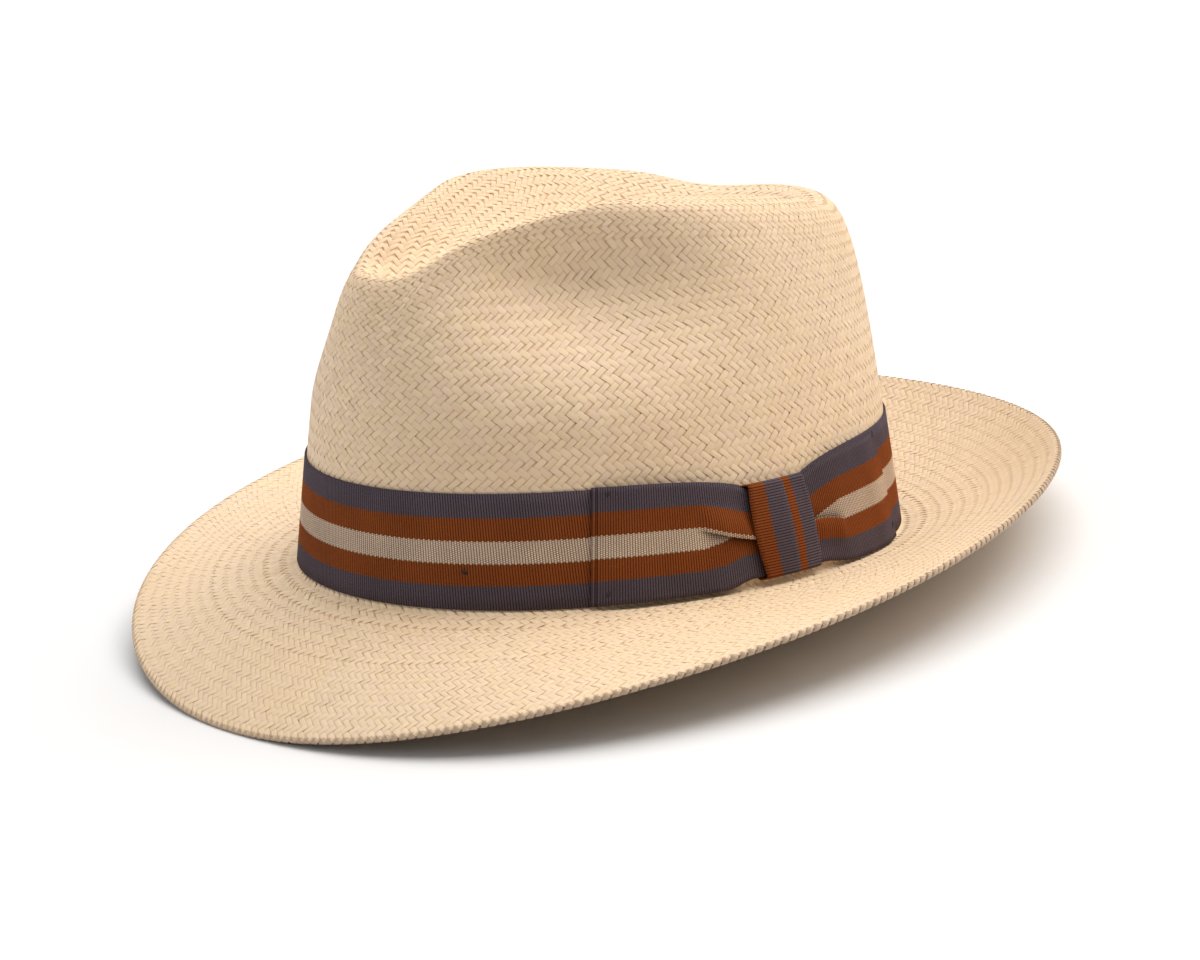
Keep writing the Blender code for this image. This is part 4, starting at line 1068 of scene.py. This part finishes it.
def add_size_flap(look):
    """Woven satin flap with turned-in edges, which swings about its seam."""
    here, along, down, inward = flap_frame()
    columns = np.linspace(-0.5, 0.5, 61)
    rows = np.linspace(0.0, 1.0, 46)[None, :]
    side = np.minimum(0.5 - np.abs(columns), 0.5)[:, None] * FLAP_WIDTH
    foot = (1.0 - rows) * FLAP_DROP
    edge = np.minimum(side, foot)
    thick = 0.55 + 0.45 * (1.0 - smooth_step((edge - FLAP_HEM) / (0.3 * MM)))
    thick = thick * (0.4 + 0.6 * smooth_step(edge / (0.35 * MM)))
    belly = 0.35 * MM * np.sin(math.pi * rows) * (1.0 - (2.0 * columns[:, None]) ** 2)
    puckers = 0.05 * MM * np.sin(26.0 * columns[:, None]) * np.exp(-rows * 6.0)
    middle = here + along * (columns[:, None] * FLAP_WIDTH)[..., None]
    middle = middle + down * (GAP + rows * FLAP_DROP)[..., None]
    middle = middle + inward * (0.5 * FLAP + belly + puckers)[..., None]
    lift = inward * (0.5 * FLAP * thick)[..., None]
    faces = np.concatenate([middle + lift, (middle - lift)[:, ::-1]], axis=1)
    flat_side = np.broadcast_to(columns[:, None] * FLAP_WIDTH / MM, thick.shape)
    flat_down = np.broadcast_to(rows * FLAP_DROP / MM, thick.shape)
    cloth = np.stack([flat_side, flat_down, edge / MM], axis=-1)
    cloth = np.concatenate([cloth, cloth[:, ::-1]], axis=1)
    mesh = swept_mesh("size_flap_satin", faces[None], {"cloth": cloth[None]})
    add_piece(mesh, look, "size_flap", "flap")


def add_flap_seam(look):
    """Zigzag stitching that the size flap swings on."""
    here, along, down, inward = flap_frame()
    count = 14
    steps = np.linspace(0.0, 1.0, 9)
    start = (np.arange(count) / count - 0.5)[:, None]
    place = start + steps / count
    zigzag = 0.35 * MM * (1.0 - 2.0 * np.abs((np.arange(count)[:, None] + steps) % 2.0 - 1.0))
    lift = THREAD_RADIUS * (0.9 - 1.1 * (2.0 * np.abs(steps - 0.5)) ** 4) + 0.0 * place
    paths = here + along * (place * FLAP_WIDTH)[..., None] + down * zigzag[..., None]
    mesh = thread_mesh("size_flap_stitches", paths + inward * lift[..., None], 0.75 * THREAD_RADIUS)
    add_piece(mesh, look, "size_flap_seam")


# --- materials ---

class Look:
    """A material whose nodes are strung together by short calls."""

    def __init__(self, name, roughness):
        self.material = bpy.data.materials.new(name)
        self.material.use_nodes = True
        self.tree = self.material.node_tree
        self.set("Roughness", roughness)

    def node(self, kind, **properties):
        made = self.tree.nodes.new(kind)
        for key, value in properties.items():
            setattr(made, key, value)
        return made

    def put(self, socket, value):
        """Sets a socket to a number or colour, or links it to another socket."""
        if isinstance(value, bpy.types.NodeSocket):
            self.tree.links.new(value, socket)
        else:
            socket.default_value = value

    def set(self, name, value):
        """Sets or links an input of the material's shader."""
        self.put(self.tree.nodes["Principled BSDF"].inputs[name], value)

    def attribute(self, name, output="Fac"):
        return self.node("ShaderNodeAttribute", attribute_name=name).outputs[output]

    def math(self, operation, *values):
        made = self.node("ShaderNodeMath", operation=operation)
        for socket, value in zip(made.inputs, values):
            self.put(socket, value)
        return made.outputs[0]

    def times(self, product, *factors):
        """The product of several numbers."""
        for factor in factors:
            product = self.math("MULTIPLY", product, factor)
        return product

    def wave(self, value, pitch):
        """Sine of a value that rises by one pitch from wave to wave."""
        return self.math("SINE", self.math("MULTIPLY", value, FULL_TURN / pitch))

    def part(self, vector, axis):
        """One number of a vector."""
        made = self.node("ShaderNodeSeparateXYZ")
        self.put(made.inputs[0], vector)
        return made.outputs[axis]

    def noise(self, vector, scale, detail=2.0, roughness=0.5):
        """Noise along a vector; a scale with three numbers stretches the noise."""
        if isinstance(scale, tuple):
            stretch = self.node("ShaderNodeVectorMath", operation="MULTIPLY")
            self.put(stretch.inputs[0], vector)
            self.put(stretch.inputs[1], scale)
            vector, scale = stretch.outputs[0], 1.0
        made = self.node("ShaderNodeTexNoise")
        settings = {"Vector": vector, "Scale": scale, "Detail": detail, "Roughness": roughness}
        for key, value in settings.items():
            self.put(made.inputs[key], value)
        return made.outputs["Fac"]

    def spread(self, value, low, high, to_low=0.0, to_high=1.0):
        """Maps low..high of a value to other limits, cut off at both ends."""
        made = self.node("ShaderNodeMapRange")
        for socket, number in zip(made.inputs, (value, low, high, to_low, to_high)):
            self.put(socket, number)
        return made.outputs[0]

    def mix(self, share, first, second, blend="MIX"):
        """Mixes two colours."""
        made = self.node("ShaderNodeMix", data_type="RGBA", blend_type=blend)
        self.put(made.inputs["Factor"], share)
        for socket, value in ((made.inputs[6], first), (made.inputs[7], second)):
            self.put(socket, (*value, 1.0) if isinstance(value, tuple) else value)
        return made.outputs[2]

    def shaded(self, colour, light):
        """Sets the colour, made lighter or darker by a number."""
        shade = self.node("ShaderNodeCombineColor")
        for socket in shade.inputs:
            self.put(socket, light)
        self.set("Base Color", self.mix(1.0, colour, shade.outputs[0], "MULTIPLY"))

    def bump(self, height, distance, strength=0.6):
        made = self.node("ShaderNodeBump")
        for key, value in (("Strength", strength), ("Distance", distance), ("Height", height)):
            self.put(made.inputs[key], value)
        self.set("Normal", made.outputs[0])

    def position(self):
        return self.node("ShaderNodeTexCoord").outputs["Object"]


STRAW_DARK = (0.705, 0.544, 0.371)
STRAW_PALE = (0.868, 0.689, 0.492)
STRAW_ROSY = (0.780, 0.590, 0.450)
STRAW_YELLOW = (0.810, 0.625, 0.385)
STRAW_PATCH = (0.780, 0.575, 0.350)
STRAW_STREAK = (0.600, 0.420, 0.250)
# colour of the painted shade in the gaps between straws
STRAW_FURROW_SHADE = (0.500, 0.275, 0.105)
# colour of the painted shade on the brim's folded edge
STRAW_RIM_SHADE = (0.400, 0.290, 0.205)


def straw_look():
    """Bleached toquilla straw: pale and warm, each straw of its own tone, with fine streaks along it and
    painted shade in the gaps between straws and on the folded edge.
    """
    look = Look("pale_straw", 0.55)
    grain = look.attribute("grain", "Vector")
    depth = look.attribute("depth")
    edge = look.math("ABSOLUTE", look.part(grain, 1))
    streaks = look.noise(grain, (0.12, 3.2, 1.0), 3.0, 0.6)
    hue = look.noise(grain, (0.05, 0.1, 3.1), 1.0)
    patches = look.noise(look.position(), 26.0)
    colour = look.mix(look.spread(look.attribute("tone"), -2.6, 2.6), STRAW_DARK, STRAW_PALE)
    colour = look.mix(look.spread(hue, 0.52, 0.68, 0.0, 0.75), colour, STRAW_ROSY)
    colour = look.mix(look.spread(hue, 0.46, 0.34, 0.0, 0.40), colour, STRAW_YELLOW)
    colour = look.mix(look.spread(patches, 0.38, 0.70, 0.0, 0.30), colour, STRAW_PATCH)
    colour = look.mix(look.spread(streaks, 0.50, 0.78, 0.0, 0.35), colour, STRAW_STREAK)
    # painted shade where a straw dips under its crossing and along its sides, scaled by the relief
    ends = look.spread(look.attribute("over"), 0.25, -0.10, 0.0, 0.50)
    sides = look.spread(edge, 0.88, 1.0, 0.0, 0.25)
    for furrow in (ends, sides):
        colour = look.mix(look.times(furrow, depth), colour, STRAW_FURROW_SHADE)
    # painted shade on the brim's folded edge
    look.set("Base Color", look.mix(look.times(look.attribute("rim"), 0.75), colour, STRAW_RIM_SHADE))
    look.set("Roughness", look.spread(streaks, 0.3, 0.7, 0.45, 0.65))
    look.set("Specular IOR Level", 0.30)
    look.bump(streaks, 0.05 * MM)
    return look.material


GREY_BLUE = (0.073, 0.056, 0.068)
RUST = (0.176, 0.0455, 0.0110)
BEIGE = (0.410, 0.315, 0.240)
# Stripes across the ribbon and the knot: (end in mm, colour)
BAND_STRIPES = ((7.3, GREY_BLUE), (13.9, RUST), (20.7, BEIGE), (27.7, RUST), (35.0, GREY_BLUE))
KNOT_STRIPES = ((5.2, RUST), (11.75, GREY_BLUE), (14.6, RUST), (20.0, GREY_BLUE))
STRIPE_TOOTH = 0.14  # how far, in mm, a stripe's edge steps from rib to rib
BAND_THREAD = 0.62  # mm from thread to thread across the ribbon
PALE = 0.2  # green share over which a stripe shows its threads as flecks


def ribbon_look(name, stripes):
    """Grosgrain ribbon with stripes across it, with painted shade between its ribs and in its creases and
    painted light on the ribs' crests.
    """
    look = Look(name, 0.85)
    cloth = look.attribute("cloth", "Vector")
    rib, across = look.part(cloth, 0), look.part(cloth, 1)
    groove = look.math("ABSOLUTE", look.wave(rib, 2.0))
    parity = look.math("COSINE", look.times(look.math("FLOOR", rib), math.pi))
    shifted = look.math("ADD", across, look.times(parity, STRIPE_TOOTH))
    colour = stripes[-1][1]
    for end, stripe in reversed(stripes[:-1]):
        colour = look.mix(look.math("LESS_THAN", shifted, end), colour, stripe)
    phase = look.math("ADD", look.times(across, FULL_TURN / BAND_THREAD), look.times(parity, 0.5 * math.pi))
    threads = look.math("SINE", phase)
    flecks = look.times(threads, look.math("GREATER_THAN", look.part(colour, 1), PALE), 0.50)
    wear = look.noise(look.position(), 60.0, 3.0)
    fuzz = look.noise(cloth, (3.0, 2.2, 1.0))
    # painted shade in the grooves between ribs and painted light on their crests, plus the threads' flecks
    light = look.math("ADD", look.spread(groove, 0.0, 0.85, 0.12, 1.42), flecks)
    # painted shade in creases, pleats and along the pressed line: down to 0.28 of the colour
    crease = look.spread(look.part(cloth, 2), 0.0, 1.0, 1.0, 0.28)
    wear = look.spread(wear, 0.3, 0.7, 0.90, 1.10)
    look.shaded(colour, look.times(light, crease, wear, look.spread(fuzz, 0.3, 0.7, 0.78, 1.22)))
    look.set("Specular IOR Level", 0.06)
    look.bump(look.math("ADD", threads, fuzz), 0.03 * MM)
    return look.material


def thread_look(name, colour):
    """Twisted thread: painted shade in the furrows between its plies and painted light on their ridges."""
    look = Look(name, 0.7)
    cloth = look.attribute("cloth", "Vector")
    fuzz = look.noise(cloth, (2.0, 3.0, 1.0))
    # painted shade in the furrows between plies, painted light on their ridges
    plies = look.spread(look.part(cloth, 1), 0.0, 1.0, 0.55, 1.1)
    look.shaded(colour, look.times(plies, look.spread(fuzz, 0.3, 0.7, 0.8, 1.2)))
    look.bump(fuzz, 0.02 * MM, 0.5)
    return look.material


def ribbed_look(name, colour):
    """Plain ribbed cloth for the inside of the hat."""
    look = Look(name, 0.85)
    cloth = look.attribute("cloth", "Vector")
    groove = look.math("ABSOLUTE", look.wave(look.part(cloth, 0), 2.0))
    threads = look.wave(look.part(cloth, 1), 0.45)
    fuzz = look.noise(cloth, (3.0, 2.5, 1.0))
    wear = look.spread(look.noise(look.position(), 45.0, 3.0), 0.3, 0.7, 0.92, 1.08)
    # painted shade in the grooves between the ribs, with the threads' faint pattern
    light = look.math("ADD", look.spread(groove, 0.0, 0.8, 0.70, 1.05), look.times(threads, 0.05))
    look.shaded(colour, look.times(light, look.spread(fuzz, 0.3, 0.7, 0.88, 1.12), wear))
    look.set("Specular IOR Level", 0.2)
    look.bump(look.math("ADD", threads, fuzz), 0.03 * MM)
    return look.material


def satin_look():
    """White satin with fine bright floats across it and a woven line along its edges."""
    look = Look("flap_satin_weave", 0.38)
    cloth = look.attribute("cloth", "Vector")
    floats = look.noise(cloth, (1.3, 14.0, 1.0))
    rows = look.wave(look.part(cloth, 1), 0.35)
    edge = look.part(cloth, 2)
    line = look.times(look.math("GREATER_THAN", edge, 1.9), look.math("LESS_THAN", edge, 2.3))
    colour = look.mix(look.spread(floats, 0.3, 0.7), (0.72, 0.69, 0.62), (0.86, 0.84, 0.78))
    colour = look.mix(look.spread(rows, -1.0, 1.0, 0.0, 0.25), colour, (0.62, 0.58, 0.50))
    look.set("Base Color", look.mix(look.times(line, 0.8), colour, (0.20, 0.13, 0.09)))
    look.set("Sheen Weight", 0.2)
    look.bump(look.math("ADD", rows, floats), 0.02 * MM)
    return look.material


def steel_look():
    """Drawn steel wire with faint lines along it."""
    look = Look("drawn_steel", 0.35)
    lines = look.noise(look.attribute("cloth", "Vector"), (0.2, 9.0, 1.0))
    look.set("Base Color", look.mix(look.spread(lines, 0.3, 0.7), (0.30, 0.30, 0.31), (0.52, 0.52, 0.53)))
    look.set("Metallic", 1.0)
    look.set("Roughness", look.spread(lines, 0.3, 0.7, 0.28, 0.45))
    return look.material


# --- stage ---

CAMERA_AZIMUTH = math.radians(49.812)
CAMERA_ELEVATION = math.radians(13.816)
CAMERA_ROLL = math.radians(-1.048)
CAMERA_DISTANCE = 1.5
CAMERA_LENS = 139.9
CAMERA_SHIFT = (-0.0038, 0.0479)
FLOOR_HALF = 6.0
FLOOR_DROP = 0.1 * MM
AMBIENT = 0.225  # light that surrounds the hat, as a share of pure white
# Each light: (name, direction it comes from, watts per square metre, degrees that it fills, colour)
SUNS = (
    ("overhead", (-0.12, 0.40, 1.0), 3.20, 70.0, (1.0, 0.97, 0.935)),
    ("left_fill", (-0.60, -0.85, 0.50), 0.66, 60.0, (1.0, 0.98, 0.96)),
    ("right_fill", (0.52, 0.92, 0.78), 1.20, 50.0, (1.0, 0.885, 0.75)),
)


def add_camera():
    """Camera at the hat's three-quarter view, placed in the hat's own frame."""
    sine, cosine = math.sin(CAMERA_AZIMUTH), math.cos(CAMERA_AZIMUTH)
    level = math.cos(CAMERA_ELEVATION)
    back = Vector((sine * level, -cosine * level, math.sin(CAMERA_ELEVATION)))
    right = Vector((cosine, sine, 0.0))
    up = back.cross(right)
    rolled_right = right * math.cos(CAMERA_ROLL) + up * math.sin(CAMERA_ROLL)
    rolled_up = up * math.cos(CAMERA_ROLL) - right * math.sin(CAMERA_ROLL)
    turn = Matrix.Rotation(REST_TILT, 3, "X")
    axes = Matrix([turn @ rolled_right, turn @ rolled_up, turn @ back]).transposed()
    place = turn @ (back * CAMERA_DISTANCE) + Vector((0.0, REST_SHIFT, REST_LIFT))
    data = bpy.data.cameras.new("camera")
    data.lens = CAMERA_LENS
    data.shift_x, data.shift_y = CAMERA_SHIFT
    camera = add_object("camera", data)
    camera.matrix_world = Matrix.Translation(place) @ axes.to_4x4()
    bpy.context.scene.camera = camera


def add_sun(name, toward, strength, spread, colour):
    """Distant soft light that comes from a direction and fills an angle of so many degrees."""
    data = bpy.data.lights.new(name, "SUN")
    data.energy = strength
    data.angle = math.radians(spread)
    data.color = colour
    light = add_object(name, data)
    light.rotation_mode = "QUATERNION"
    light.rotation_quaternion = Vector(toward).to_track_quat("Z", "Y")


def add_floor():
    """Pale matt floor, a hair below the hat."""
    look = Look("pale_floor", 0.9)
    look.set("Base Color", (0.75, 0.76, 0.78, 1.0))
    look.set("Specular IOR Level", 0.0)
    sides = ((-1, -1), (1, -1), (1, 1), (-1, 1))
    corners = [(x * FLOOR_HALF, y * FLOOR_HALF, -FLOOR_DROP) for x, y in sides]
    mesh = bpy.data.meshes.new("floor")
    mesh.from_pydata(corners, [], [(0, 1, 2, 3)])
    mesh.materials.append(look.material)
    floor = add_object("floor", mesh)


def add_surroundings():
    """White to the camera, and dimmer as light on the hat."""
    world = bpy.data.worlds.new("studio")
    world.use_nodes = True
    tree = world.node_tree
    sky = tree.nodes["Background"]
    sky.inputs["Color"].default_value = (1.0, 1.0, 1.0, 1.0)
    path = tree.nodes.new("ShaderNodeLightPath")
    strength = tree.nodes.new("ShaderNodeMapRange")
    strength.inputs["To Min"].default_value = AMBIENT
    tree.links.new(path.outputs["Is Camera Ray"], strength.inputs["Value"])
    tree.links.new(strength.outputs[0], sky.inputs["Strength"])
    bpy.context.scene.world = world
    bpy.context.scene.view_settings.view_transform = "Standard"


STRAW_LOOK = straw_look()
add_straws(STRAW_LOOK)
RIBBON_LOOK = ribbon_look("striped_grosgrain", BAND_STRIPES)
add_hat_band(RIBBON_LOOK)
add_bow(RIBBON_LOOK)
add_knot(ribbon_look("knot_grosgrain", KNOT_STRIPES))
add_tacks(thread_look("dark_twist", (0.020, 0.016, 0.018)))
add_edge_wire(steel_look())
STRAW_THREAD = thread_look("straw_twist", (0.62, 0.47, 0.30))
add_hem_stitches(STRAW_THREAD)
add_sweatband_stitches(STRAW_THREAD)
add_flap_seam(STRAW_THREAD)
BAND_LOOK = ribbed_look("sweatband_rib", (0.46, 0.37, 0.27))
add_sweatband(BAND_LOOK)
add_little_bow(BAND_LOOK)
add_reed(ribbed_look("bias_tape", (0.62, 0.55, 0.44)))
add_size_flap(satin_look())
add_camera()
add_floor()
add_surroundings()
for sun in SUNS:
    add_sun(*sun)
